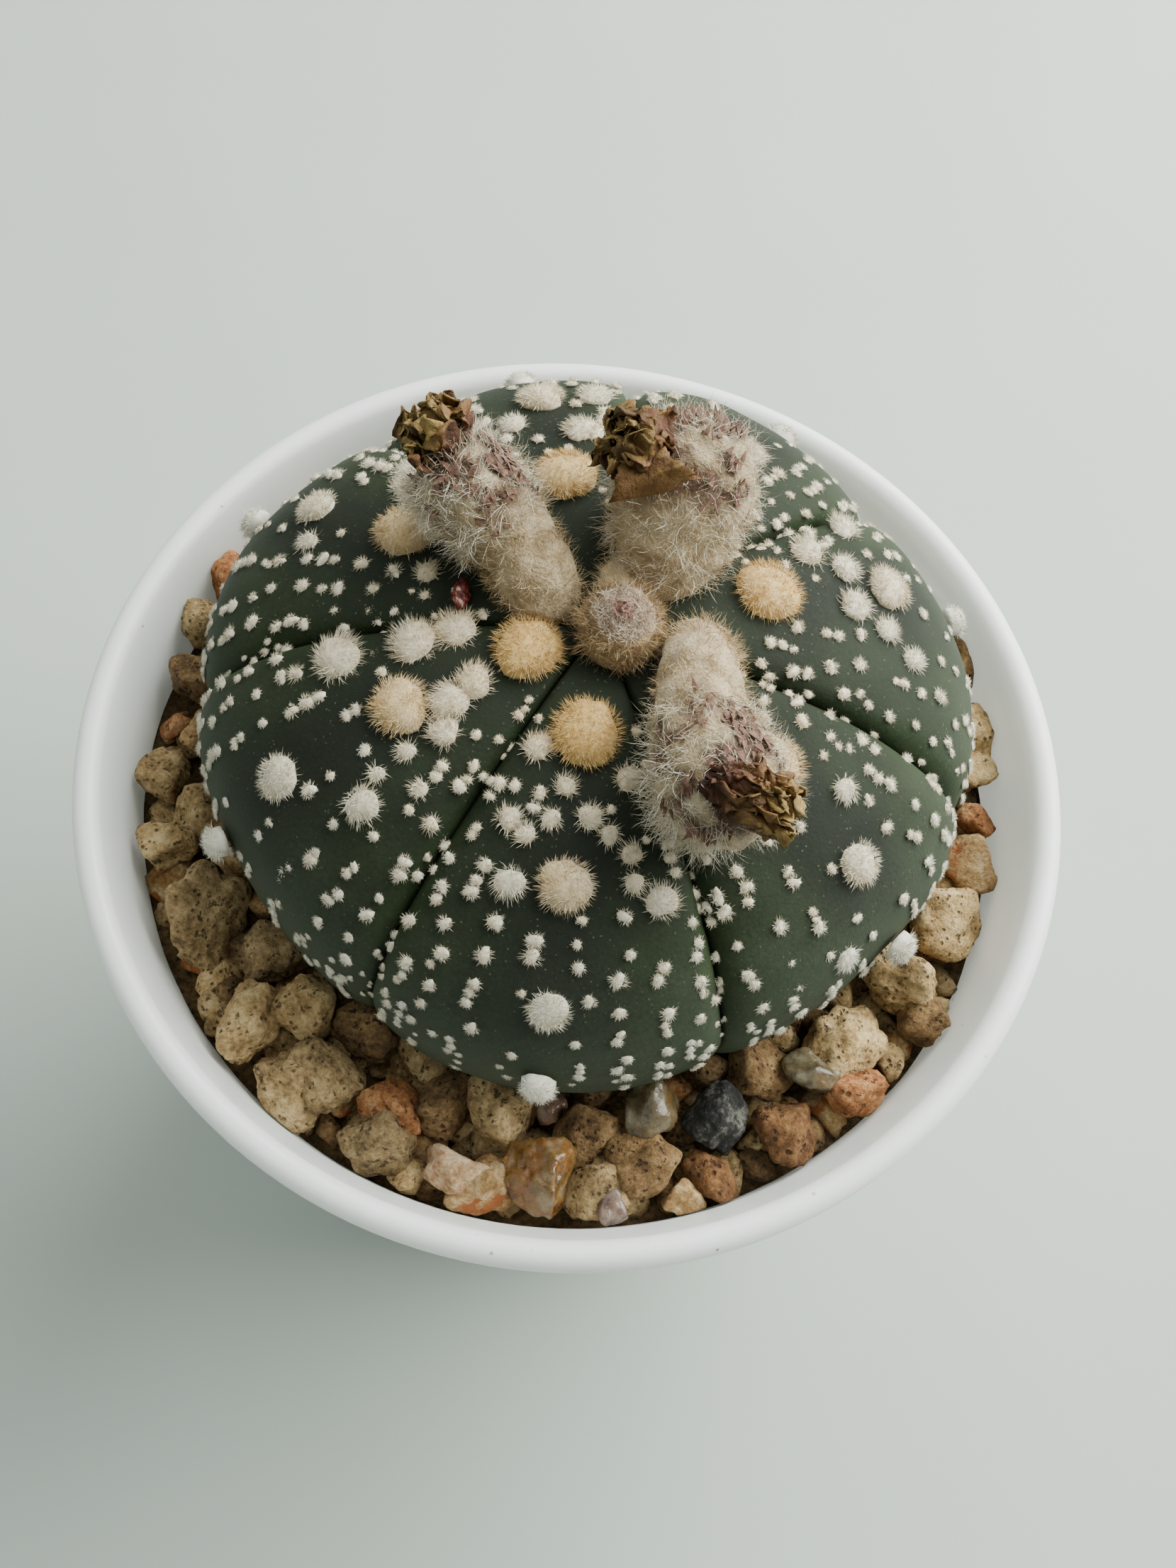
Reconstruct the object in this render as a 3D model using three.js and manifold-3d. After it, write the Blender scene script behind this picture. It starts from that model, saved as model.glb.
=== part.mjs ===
// A potted star cactus: a seven-ribbed dome with woolly areoles, withered flowers, gravel and a white pot.
// Millimetres, +Z up. The origin is the centre of the pot's underside; +X is right and -Y is the near side.
import * as THREE from 'three';
import { mergeVertices } from 'three/addons/utils/BufferGeometryUtils.js';
import Module from 'manifold-3d';

const wasm = await Module();
wasm.setup();

// Pot
const POT_HEIGHT = 80;
const RIM_RADIUS = 50;
const RIM_ROLL = 2.8;
const LIP_HEIGHT = 3.2;
const WALL = 1.5;
const FLOOR_THICKNESS = 2;
const FOOT_RADIUS = 37;
const FOOT_CHAMFER = 0.8;
const LIP_OVERHANG = 2.4;
const POT_SIDES = 56;
const DRAIN_HOLES = 6;
const DRAIN_RADIUS = 3;
const DRAIN_CIRCLE = 23;

// Room left between touching pieces
const GAP = 0.3;

// Plant
const PLANT_CENTRE = new THREE.Vector2(0.3, 4.6);
const PLANT_RADIUS = 38.6;
const FOUR_LOBE = 0.7;
const TWO_LOBE = 0.4;
const WIDEST_HEIGHT = POT_HEIGHT + 0.8;
const DOME_RISE = 18.2;
const DOME_POWER = 2.25;
const CROWN_DIP = 1.3;
const CROWN_DIP_RADIUS = 5;
const UNDERSIDE_DROP = 25;
const UNDERSIDE_POWER = 0.8;
const ROOT_RADIUS = 7;
const ROOT_LENGTH = 26;
const ROOT_TIP_RADIUS = 2.2;
const GROOVE_ANGLES = [189, 245, 299, 352, 404, 452, 498];
const CREST_ANGLES = [214, 272, 328, 384, 426, 470, 520];
const GROOVE_DEPTH = 2.9;
const GROOVE_AT_CROWN = 0.25;
const CROWN_FADE_RADIUS = 12;
const RIB_ROUNDING = 0.45;
const NOTCH_POWER = 8;
const STEP_NUDGE = 0.02;
const RIB_STATIONS = [-1, -0.85, -0.4, 0, 0.4, 0.85];
const DOME_ROWS = 9;
const UNDERSIDE_ROWS = 4;

// Gravel
const BED_SURFACE = POT_HEIGHT - 8.5;
const SOCKET_TOP = BED_SURFACE - 0.5;
const STONE_CLEARANCE = 1.2;

const radians = THREE.MathUtils.degToRad;
const TAU = 2 * Math.PI;
const GOLDEN_TURN = 2.4;
const LIMB_SIDES = 8;
const FINE = 0.04;

// A repeatable run of numbers from 0 to 1
function seededRandom(seed) {
  let state = seed >>> 0;
  return () => {
    state = (state + 0x6d2b79f5) >>> 0;
    let mixed = Math.imul(state ^ (state >>> 15), 1 | state);
    mixed = (mixed + Math.imul(mixed ^ (mixed >>> 7), 61 | mixed)) ^ mixed;
    return ((mixed ^ (mixed >>> 14)) >>> 0) / 4294967296;
  };
}

// Solid helpers

function solidFromTriangles(points, triangles) {
  let volume = 0;
  for (const [a, b, c] of triangles) {
    volume += points[a].dot(points[b].clone().cross(points[c]));
  }
  const outward = volume < 0 ? triangles.map(([a, b, c]) => [a, c, b]) : triangles;
  return new wasm.Manifold(new wasm.Mesh({
    numProp: 3,
    vertProperties: new Float32Array(points.flatMap((point) => [point.x, point.y, point.z])),
    triVerts: new Uint32Array(outward.flat()),
  }));
}

// A closed solid through a stack of rings, all with the same number of points, closed by a point at each end
function solidFromRings(rings, startPoint, endPoint) {
  const count = rings[0].length;
  const points = [...rings.flat(), startPoint, endPoint];
  const start = points.length - 2;
  const end = points.length - 1;
  const lastRing = (rings.length - 1) * count;
  const triangles = [];
  for (let column = 0; column < count; column += 1) {
    const next = (column + 1) % count;
    triangles.push([start, column, next]);
    triangles.push([end, lastRing + next, lastRing + column]);
    for (let row = 0; row < rings.length - 1; row += 1) {
      const upper = row * count;
      const lower = upper + count;
      triangles.push([upper + column, lower + column, upper + next]);
      triangles.push([upper + next, lower + column, lower + next]);
    }
  }
  return solidFromTriangles(points, triangles);
}

function solidFromGeometry(geometry) {
  geometry.deleteAttribute('normal');
  geometry.deleteAttribute('uv');
  const merged = mergeVertices(geometry, 1e-4);
  return new wasm.Manifold(new wasm.Mesh({
    numProp: 3,
    vertProperties: new Float32Array(merged.attributes.position.array),
    triVerts: new Uint32Array(merged.index.array),
  }));
}

const joined = (solids) => wasm.Manifold.union(solids).simplify(FINE);

const largestPiece = (solid) => solid.decompose().reduce((a, b) => (b.volume() > a.volume() ? b : a));

function boxesMeet(first, second) {
  const a = first.boundingBox();
  const b = second.boundingBox();
  return [0, 1, 2].every((axis) => a.min[axis] <= b.max[axis] && b.min[axis] <= a.max[axis]);
}

// A directed frame: two unit vectors square to a direction
function crossAxes(direction) {
  const helper = Math.abs(direction.z) < 0.9 ? new THREE.Vector3(0, 0, 1) : new THREE.Vector3(1, 0, 0);
  const side = new THREE.Vector3().crossVectors(direction, helper).normalize();
  const over = new THREE.Vector3().crossVectors(side, direction).normalize();
  return [side, over];
}

// Pot

function innerWallRadius(height) {
  const wallTop = RIM_RADIUS - LIP_OVERHANG;
  return FOOT_RADIUS + ((wallTop - FOOT_RADIUS) * height) / (POT_HEIGHT - LIP_HEIGHT) - WALL;
}

function makePot() {
  const lipBottom = POT_HEIGHT - LIP_HEIGHT;
  const rollInside = RIM_RADIUS - RIM_ROLL;
  const profile = [
    [0, 0],
    [FOOT_RADIUS - FOOT_CHAMFER, 0],
    [FOOT_RADIUS, FOOT_CHAMFER],
    [RIM_RADIUS - LIP_OVERHANG, lipBottom],
    [RIM_RADIUS - 0.7, lipBottom],
    [RIM_RADIUS, lipBottom + 0.7],
    [RIM_RADIUS, POT_HEIGHT - 1.1],
    [RIM_RADIUS - 0.6, POT_HEIGHT - 0.3],
    [RIM_RADIUS - RIM_ROLL / 2, POT_HEIGHT],
    [rollInside + 0.3, POT_HEIGHT - 0.4],
    [rollInside, POT_HEIGHT - 1.2],
    [innerWallRadius(lipBottom - 1.5), lipBottom - 1.5],
    [innerWallRadius(FLOOR_THICKNESS), FLOOR_THICKNESS],
    [0, FLOOR_THICKNESS],
  ];
  const lathe = new THREE.LatheGeometry(profile.map(([r, z]) => new THREE.Vector2(r, z)), POT_SIDES);
  lathe.rotateX(Math.PI / 2);
  const holes = [];
  for (let index = 0; index < DRAIN_HOLES; index += 1) {
    const angle = (TAU * index) / DRAIN_HOLES;
    const hole = wasm.Manifold.cylinder(3 * FLOOR_THICKNESS, DRAIN_RADIUS, DRAIN_RADIUS, 12, true);
    holes.push(hole.translate([DRAIN_CIRCLE * Math.cos(angle), DRAIN_CIRCLE * Math.sin(angle), 0]));
  }
  return solidFromGeometry(lathe).subtract(joined(holes));
}

// The room inside the pot, drawn in from its wall and floor
function potInterior(inset) {
  const bottom = FLOOR_THICKNESS + inset;
  const height = POT_HEIGHT - bottom;
  const low = innerWallRadius(bottom) - inset;
  const high = innerWallRadius(POT_HEIGHT) - inset;
  const turned = wasm.Manifold.cylinder(height, low, high, POT_SIDES);
  return turned.translate([0, 0, bottom]);
}

// Cactus body

// The groove at the far side of a rib
function nextGroove(rib) {
  return rib + 1 < GROOVE_ANGLES.length ? GROOVE_ANGLES[rib + 1] : GROOVE_ANGLES[0] + 360;
}

// The place across its rib of an angle round the plant: -1 and 1 are the rib's grooves, 0 its crest
function acrossRib(angle) {
  const turn = ((((angle - GROOVE_ANGLES[0]) % 360) + 360) % 360) + GROOVE_ANGLES[0];
  let rib = GROOVE_ANGLES.length - 1;
  while (turn < GROOVE_ANGLES[rib]) {
    rib -= 1;
  }
  const crest = CREST_ANGLES[rib];
  return turn < crest ? (turn - crest) / (crest - GROOVE_ANGLES[rib]) : (turn - crest) / (nextGroove(rib) - crest);
}

// The angle at a place across a rib
function ribAngle(rib, across) {
  const crest = CREST_ANGLES[rib];
  return across < 0 ? crest + across * (crest - GROOVE_ANGLES[rib]) : crest + across * (nextGroove(rib) - crest);
}

// Radius and height of the crest line. Steps 0 to 1 run from the crown to the widest line, 1 to 2 below it.
function crestLine(step) {
  if (step <= 1) {
    const turn = (step * Math.PI) / 2;
    const radius = PLANT_RADIUS * Math.sin(turn) ** (2 / DOME_POWER);
    const dip = CROWN_DIP * Math.exp(-((radius / CROWN_DIP_RADIUS) ** 2));
    return [radius, WIDEST_HEIGHT + DOME_RISE * Math.cos(turn) ** (2 / DOME_POWER) - dip];
  }
  const turn = ((step - 1) * Math.PI) / 2;
  const radius = ROOT_RADIUS + (PLANT_RADIUS - ROOT_RADIUS) * Math.cos(turn) ** UNDERSIDE_POWER;
  return [radius, WIDEST_HEIGHT - UNDERSIDE_DROP * Math.sin(turn)];
}

function outlineStretch(angle) {
  return 1 + (FOUR_LOBE * Math.cos(4 * angle) + TWO_LOBE * Math.cos(2 * angle)) / PLANT_RADIUS;
}

// A point on the skin and the outward direction there, for an angle in degrees and a step on the crest line
function skinAt(angleDegrees, step, lift = 0) {
  const angle = radians(angleDegrees);
  const across = acrossRib(angleDegrees);
  const [radius, height] = crestLine(step);
  const [before, above] = crestLine(Math.max(step - STEP_NUDGE, 0));
  const [after, below] = crestLine(Math.min(step + STEP_NUDGE, 2 - STEP_NUDGE));
  const outward = new THREE.Vector2(above - below, after - before).normalize();
  const fade = step < 1 ? THREE.MathUtils.lerp(GROOVE_AT_CROWN, 1, step) : 2 - step;
  const notch = RIB_ROUNDING * across ** 2 + (1 - RIB_ROUNDING) * across ** NOTCH_POWER;
  const sink = GROOVE_DEPTH * fade * notch * Math.min(1, radius / CROWN_FADE_RADIUS) - lift;
  const reach = radius * outlineStretch(angle) - outward.x * sink;
  const point = new THREE.Vector3(
    PLANT_CENTRE.x + reach * Math.cos(angle),
    PLANT_CENTRE.y + reach * Math.sin(angle),
    height - outward.y * sink,
  );
  const normal = new THREE.Vector3(outward.x * Math.cos(angle), outward.x * Math.sin(angle), outward.y);
  return { point, normal };
}

// The step on the crest line where the dome has a radius
function stepAtRadius(radius) {
  return (Math.asin(Math.min(1, radius / PLANT_RADIUS) ** (DOME_POWER / 2)) * 2) / Math.PI;
}

function bodyRings(lift) {
  const angles = GROOVE_ANGLES.flatMap((_, rib) => RIB_STATIONS.map((across) => ribAngle(rib, across)));
  const steps = [];
  for (let row = 1; row <= DOME_ROWS; row += 1) {
    steps.push(row / DOME_ROWS);
  }
  for (let row = 1; row < UNDERSIDE_ROWS; row += 1) {
    steps.push(1 + row / UNDERSIDE_ROWS);
  }
  return steps.map((step) => angles.map((angle) => skinAt(angle, step, lift).point));
}

function plainBody(lift) {
  const rings = bodyRings(lift);
  const shoulder = WIDEST_HEIGHT - UNDERSIDE_DROP;
  const rootRing = (radius, height) => rings[0].map((point) => {
    const angle = Math.atan2(point.y - PLANT_CENTRE.y, point.x - PLANT_CENTRE.x);
    const reach = radius + lift;
    return new THREE.Vector3(
      PLANT_CENTRE.x + reach * Math.cos(angle),
      PLANT_CENTRE.y + reach * Math.sin(angle),
      height,
    );
  });
  const tip = new THREE.Vector3(PLANT_CENTRE.x, PLANT_CENTRE.y, shoulder - ROOT_LENGTH - lift);
  const crown = skinAt(0, 0.001, lift).point.setX(PLANT_CENTRE.x);
  const root = [rootRing(ROOT_RADIUS, shoulder - 1), rootRing(ROOT_TIP_RADIUS, tip.z + 1)];
  return solidFromRings([...rings, ...root], crown, tip);
}

// A low round cushion that stands on the skin, its root well inside it
function cushion(place, width, height, sides, rows) {
  const [side, over] = crossAxes(place.normal);
  const rings = [];
  for (let row = 1; row <= rows; row += 1) {
    const turn = (row / (rows + 0.35)) * (Math.PI / 2);
    const ring = [];
    for (let column = 0; column < sides; column += 1) {
      const angle = (TAU * column) / sides;
      const spread = (width / 2) * Math.sin(turn);
      ring.push(place.point.clone()
        .addScaledVector(side, spread * Math.cos(angle))
        .addScaledVector(over, spread * Math.sin(angle))
        .addScaledVector(place.normal, height * Math.cos(turn)));
    }
    rings.push(ring);
  }
  const top = place.point.clone().addScaledVector(place.normal, height);
  const root = place.point.clone().addScaledVector(place.normal, -Math.max(width * 0.4, 0.8));
  return solidFromRings(rings, top, root);
}

// Areoles down each crest: radius from the plant's centre and width of the felt, by rib
const CREST_AREOLES = [
  [[7.3, 6.4], [19.9, 5.4], [31.9, 4.1], [37.6, 3.3]],
  [[11.2, 6.4], [24.4, 4.8], [34, 3.7], [38, 3.2]],
  [[9.5, 4.5], [20.4, 5.8], [31.5, 4], [37.2, 3.2]],
  [[16.2, 6.4], [29.2, 4.8], [36.8, 3.3]],
  [[16.4, 4.4], [26.9, 3.9], [35.6, 3.5]],
  [[16.8, 6.2], [29.4, 4.8], [36.2, 3.6]],
  [[9.8, 4.5], [20.5, 6], [30.8, 4], [37, 3.4]],
];

// Extra areoles off the crests: angle round the plant, radius from its centre and width
const STRAY_AREOLES = [
  [196, 16.8, 4.4], [193, 13, 3.9], [196, 23.6, 4.6], [218, 13.2, 3.4], [220, 16, 3.6], [227, 18, 2.9],
  [228, 27.4, 3.3], [35, 22.6, 3.5], [29, 25.4, 3], [40, 29.4, 3.3], [19, 24.5, 3.2], [14, 27.2, 2.6],
  [9, 29.6, 2.4], [261, 25.3, 2.8], [291, 26.2, 3], [256, 20.4, 2.2], [255, 13.6, 2.7], [288, 15.4, 2.4],
  [276, 18, 2.5], [66, 21.4, 2.6], [118, 26, 2.6], [100, 23, 2.4], [148, 25.2, 2.4], [171, 16.4, 2.2],
  [336, 26.4, 2.3], [319, 36.8, 2.4], [168, 29, 2.2],
];

const LARGE_AREOLE = 3.5;
const AREOLE_RISE = 0.3;

// Wool flecks lie in rows that start beside the crest and run out and down towards the groove
const FLECK_ROWS_PER_FLANK = 5;
const FLECKS_PER_ROW = 3;
const FLECK_WIDTH = 1.25;
const FLECK_HEIGHT = 0.5;

function fleckPlaces(random) {
  const places = [];
  for (let rib = 0; rib < CREST_ANGLES.length; rib += 1) {
    for (const flank of [-1, 1]) {
      for (let row = 0; row < FLECK_ROWS_PER_FLANK; row += 1) {
        const start = 0.3 + (0.62 * row) / (FLECK_ROWS_PER_FLANK - 1);
        for (let place = 0; place < FLECKS_PER_ROW; place += 1) {
          const across = 0.3 + 0.27 * place + 0.06 * (random() - 0.5);
          const step = Math.min(0.99, start + 0.045 * place + 0.02 * (random() - 0.5));
          places.push({ angle: ribAngle(rib, flank * across), step });
        }
      }
    }
  }
  return places;
}

function makeBody() {
  const random = seededRandom(7);
  const areoles = [];
  const scrapPoint = skinAt(SCRAP_PLACE.angle, stepAtRadius(SCRAP_PLACE.radius)).point;
  const taken = [{ point: scrapPoint, width: SCRAP_SIZE[0] }];
  const addAreole = (angle, radius, width) => {
    const place = skinAt(angle, stepAtRadius(radius));
    taken.push({ point: place.point, width });
    const large = width > LARGE_AREOLE;
    areoles.push(cushion(place, width, width * AREOLE_RISE, large ? 7 : 6, large ? 2 : 1));
  };
  CREST_AREOLES.forEach((row, rib) => row.forEach(([radius, width]) => {
    addAreole(CREST_ANGLES[rib], radius, width);
  }));
  STRAY_AREOLES.forEach(([angle, radius, width]) => addAreole(angle, radius, width));
  const flecks = [];
  for (const { angle, step } of fleckPlaces(random)) {
    const place = skinAt(angle, step);
    const clear = taken.every(({ point, width }) => point.distanceTo(place.point) > width / 2 + FLECK_WIDTH);
    if (clear) {
      flecks.push(cushion(place, FLECK_WIDTH * (0.85 + 0.4 * random()), FLECK_HEIGHT, 4, 1));
    }
  }
  return joined([plainBody(0), ...areoles, ...flecks]);
}

// The hole that the plant stands in: close to it under the gravel's surface, wider above
function plantSocket() {
  const half = 2 * RIM_RADIUS;
  const lowerHalf = wasm.Manifold.cube([2 * half, 2 * half, SOCKET_TOP], false).translate([-half, -half, 0]);
  return joined([plainBody(GAP).intersect(lowerHalf), plainBody(STONE_CLEARANCE).subtract(lowerHalf)]);
}

// Flowers

// The direction of a limb at each of its centres, with two cross axes that turn along with it
function limbFrames(centres) {
  const frames = [];
  centres.forEach((_, index) => {
    const before = centres[Math.max(index - 1, 0)];
    const after = centres[Math.min(index + 1, centres.length - 1)];
    const way = after.clone().sub(before).normalize();
    const carried = index > 0 ? frames[index - 1].side.clone() : crossAxes(way)[0];
    const side = carried.addScaledVector(way, -carried.dot(way)).normalize();
    const over = new THREE.Vector3().crossVectors(side, way).normalize();
    frames.push({ way, side, over });
  });
  return frames;
}

// A round limb through stations of centre and radius
function limb(stations, sides, grow = 0) {
  const centres = stations.map(([x, y, z]) => new THREE.Vector3(x, y, z));
  const frames = limbFrames(centres);
  const rings = centres.map((centre, index) => {
    const { side, over } = frames[index];
    const radius = stations[index][3] + grow;
    return Array.from({ length: sides }, (_, column) => {
      const angle = (TAU * column) / sides;
      return centre.clone()
        .addScaledVector(side, radius * Math.cos(angle))
        .addScaledVector(over, radius * Math.sin(angle));
    });
  });
  const last = centres.length - 1;
  const startWay = centres[0].clone().sub(centres[1]).normalize();
  const endWay = centres[last].clone().sub(centres[last - 1]).normalize();
  const start = centres[0].clone().addScaledVector(startWay, stations[0][3] * 0.4 + grow);
  const end = centres[last].clone().addScaledVector(endWay, stations[last][3] * 0.5 + grow);
  return solidFromRings(rings, start, end);
}

// A pointed tuft of wool or a scale, from a root inside a limb
function tuft(root, direction, length, width, grow) {
  const [side, over] = crossAxes(direction);
  const foot = root.clone().addScaledVector(direction, -width);
  const half = width / 2 + grow;
  const waist = [0, 1, 2, 3].map((corner) => {
    const angle = (TAU * corner) / 4;
    return root.clone()
      .addScaledVector(side, half * Math.cos(angle))
      .addScaledVector(over, half * Math.sin(angle));
  });
  return solidFromRings([waist], root.clone().addScaledVector(direction, length + 2 * grow), foot);
}

// Wool tufts in a spiral up a limb
function woollyLimb(stations, tufts, seed, grow = 0) {
  const random = seededRandom(seed);
  const solids = [limb(stations, LIMB_SIDES, grow)];
  const centres = stations.map(([x, y, z]) => new THREE.Vector3(x, y, z));
  const frames = limbFrames(centres);
  for (let index = 0; index < tufts; index += 1) {
    const along = 1.2 + (centres.length - 2.2) * ((index + 0.5) / tufts);
    const low = Math.floor(along);
    const share = along - low;
    const high = Math.min(low + 1, centres.length - 1);
    const centre = centres[low].clone().lerp(centres[high], share);
    const { way, side, over } = frames[low];
    const angle = index * GOLDEN_TURN + 0.5 * random();
    const radius = stations[low][3] * (1 - share) + stations[high][3] * share;
    const outward = side.clone().multiplyScalar(Math.cos(angle)).addScaledVector(over, Math.sin(angle));
    const root = centre.addScaledVector(outward, radius * 0.9);
    const lean = outward.clone().addScaledVector(way, 0.35).normalize();
    solids.push(tuft(root, lean, 1 + 0.8 * random(), 1.5 + 0.5 * random(), grow));
  }
  return joined(solids);
}

// A dried corolla: a neck with curled, crumpled petals in a bunch round its axis
function driedCorolla(neck, axisEnd, petals, width, seed, grow = 0) {
  const random = seededRandom(seed);
  const base = new THREE.Vector3(neck[0], neck[1], neck[2]);
  const tip = new THREE.Vector3(axisEnd[0], axisEnd[1], axisEnd[2]);
  const way = tip.clone().sub(base).normalize();
  const length = tip.distanceTo(base);
  const [side, over] = crossAxes(way);
  const middle = base.clone().lerp(tip, 0.5);
  const core = limb([
    [base.x, base.y, base.z, width * 0.17],
    [middle.x, middle.y, middle.z, width * 0.3],
    [...base.clone().lerp(tip, 0.8).toArray(), width * 0.16],
  ], 7, grow);
  const solids = [core];
  for (let index = 0; index < petals; index += 1) {
    const angle = (TAU * (index + 0.3 * random())) / petals;
    const outward = side.clone().multiplyScalar(Math.cos(angle)).addScaledVector(over, Math.sin(angle));
    const across = new THREE.Vector3().crossVectors(way, outward).normalize();
    const reach = length * (0.75 + 0.35 * random());
    const curl = width * (0.25 + 0.3 * random());
    const rings = [0.12, 0.6, 1].map((share, row) => {
      const bend = width * 0.12 + curl * share ** 1.5 - 0.3 * curl * share ** 6;
      const centre = base.clone().addScaledVector(way, reach * share).addScaledVector(outward, bend);
      const half = [0.1, 0.22, 0.08][row] * width + grow;
      const thick = 0.35 + grow;
      const twist = 0.5 * (random() - 0.5);
      const flat = across.clone().multiplyScalar(Math.cos(twist)).addScaledVector(outward, Math.sin(twist));
      const deep = new THREE.Vector3().crossVectors(flat, way).normalize();
      return [[-1, -1], [1, -1], [1, 1], [-1, 1]].map(([a, b]) => centre.clone()
        .addScaledVector(flat, a * half)
        .addScaledVector(deep, b * thick));
    });
    const first = rings[0].reduce((sum, point) => sum.add(point), new THREE.Vector3()).divideScalar(4);
    const last = rings[2].reduce((sum, point) => sum.add(point), new THREE.Vector3()).divideScalar(4);
    solids.push(solidFromRings(rings, first, last.addScaledVector(way, grow + 0.4)));
  }
  return joined(solids);
}

// Withered flowers: stations of the woolly tube (x, y, height over the rim, radius), and the dried corolla
const FLOWERS = [
  {
    tube: [[-5.2, 6.6, 14.5, 2.9], [-5.6, 7, 18.5, 3.6], [-8.6, 9.9, 21.8, 3.9], [-12, 12.6, 23.8, 4.5],
      [-15.2, 14.8, 25.6, 4.6], [-17, 16.2, 26.8, 3]],
    corolla: { neck: [-16.6, 15.7, 26.8], end: [-21.6, 16.4, 31], petals: 6, width: 6.4 },
  },
  {
    tube: [[5.2, 12.4, 14, 3.6], [5.4, 12.8, 18, 5], [6.2, 16, 21.6, 6], [6.9, 19, 23.6, 6.2],
      [7.2, 22.4, 24.6, 5.2], [7.3, 24.6, 25, 3.2]],
    corolla: { neck: [3.6, 18, 27.2], end: [-1.6, 16.8, 32], petals: 7, width: 7.4 },
  },
  {
    tube: [[9.2, 5, 14.5, 2.7], [9.1, 4.2, 18.4, 3.3], [8.7, -0.8, 21.6, 3.6], [9, -6, 22.4, 4.2],
      [10, -10.8, 22.8, 5.2], [11.2, -14.4, 22.6, 4.6], [12, -16.4, 22.2, 2.8]],
    corolla: { neck: [13, -13.2, 23.8], end: [20.4, -16.6, 25.2], petals: 6, width: 5.6 },
  },
];
const TUFTS_PER_FLOWER = 17;

const overRim = ([x, y, z, ...rest]) => [x, y, z + POT_HEIGHT, ...rest];

function makeFlower({ tube, corolla }, index) {
  const stations = tube.map(overRim);
  const neck = overRim(corolla.neck);
  const end = overRim(corolla.end);
  const seed = 20 + index;
  const dried = driedCorolla(neck, end, corolla.petals, corolla.width, seed);
  const room = driedCorolla(neck, end, corolla.petals, corolla.width, seed, GAP);
  const woolly = woollyLimb(stations, TUFTS_PER_FLOWER, seed);
  return {
    tube: largestPiece(woolly.subtract(room)),
    room: woollyLimb(stations, TUFTS_PER_FLOWER, seed, GAP),
    corolla: dried,
  };
}

// Young woolly bud at the crown, ringed by its scale tips
const BUD_CENTRE = [1.7, 3.4];
const BUD_STATIONS = [[0, 14.5, 2.6], [0, 17.6, 3.6], [0.2, 20.2, 3.9], [0.4, 22.4, 2.9]];

const BUD_TUFTS = 12;

function makeBud(grow = 0) {
  const stations = BUD_STATIONS.map(([shift, height, radius]) => [
    BUD_CENTRE[0] + shift, BUD_CENTRE[1] - shift, height + POT_HEIGHT, radius,
  ]);
  return woollyLimb(stations, BUD_TUFTS, 61, grow);
}

// Stones

// A rough stone: rings round a squashed ball with uneven corners
function stone(centre, size, seed, sides = 7, grow = 0) {
  const random = seededRandom(seed);
  const heading = random() * TAU;
  const rows = 3;
  const place = (x, y, z) => new THREE.Vector3(
    centre.x + x * Math.cos(heading) - y * Math.sin(heading),
    centre.y + x * Math.sin(heading) + y * Math.cos(heading),
    centre.z + z,
  );
  const half = size.map((value) => value / 2 + grow);
  const rings = [];
  for (let row = 0; row < rows; row += 1) {
    const tilt = ((row + 0.8) / (rows + 0.6)) * Math.PI;
    const ring = [];
    for (let column = 0; column < sides; column += 1) {
      const angle = (TAU * (column + 0.5 * (row % 2))) / sides;
      const rough = 0.86 + 0.28 * random();
      ring.push(place(
        half[0] * rough * Math.sin(tilt) ** 0.8 * Math.cos(angle),
        half[1] * rough * Math.sin(tilt) ** 0.8 * Math.sin(angle),
        half[2] * Math.cos(tilt) * (0.95 + 0.1 * random()),
      ));
    }
    rings.push(ring);
  }
  return solidFromRings(rings, place(0, 0, half[2]), place(0, 0, -half[2]));
}

// A small dry scrap that lies on the upper left rib
const SCRAP_PLACE = { angle: 179, radius: 12.4 };
const SCRAP_SIZE = [2.6, 1.5, 1.1];

function makeScrap() {
  const { point, normal } = skinAt(SCRAP_PLACE.angle, stepAtRadius(SCRAP_PLACE.radius));
  const centre = point.clone().addScaledVector(normal, SCRAP_SIZE[2] / 2 + GAP);
  return stone(centre, SCRAP_SIZE, 91, 6, 0);
}

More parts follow.
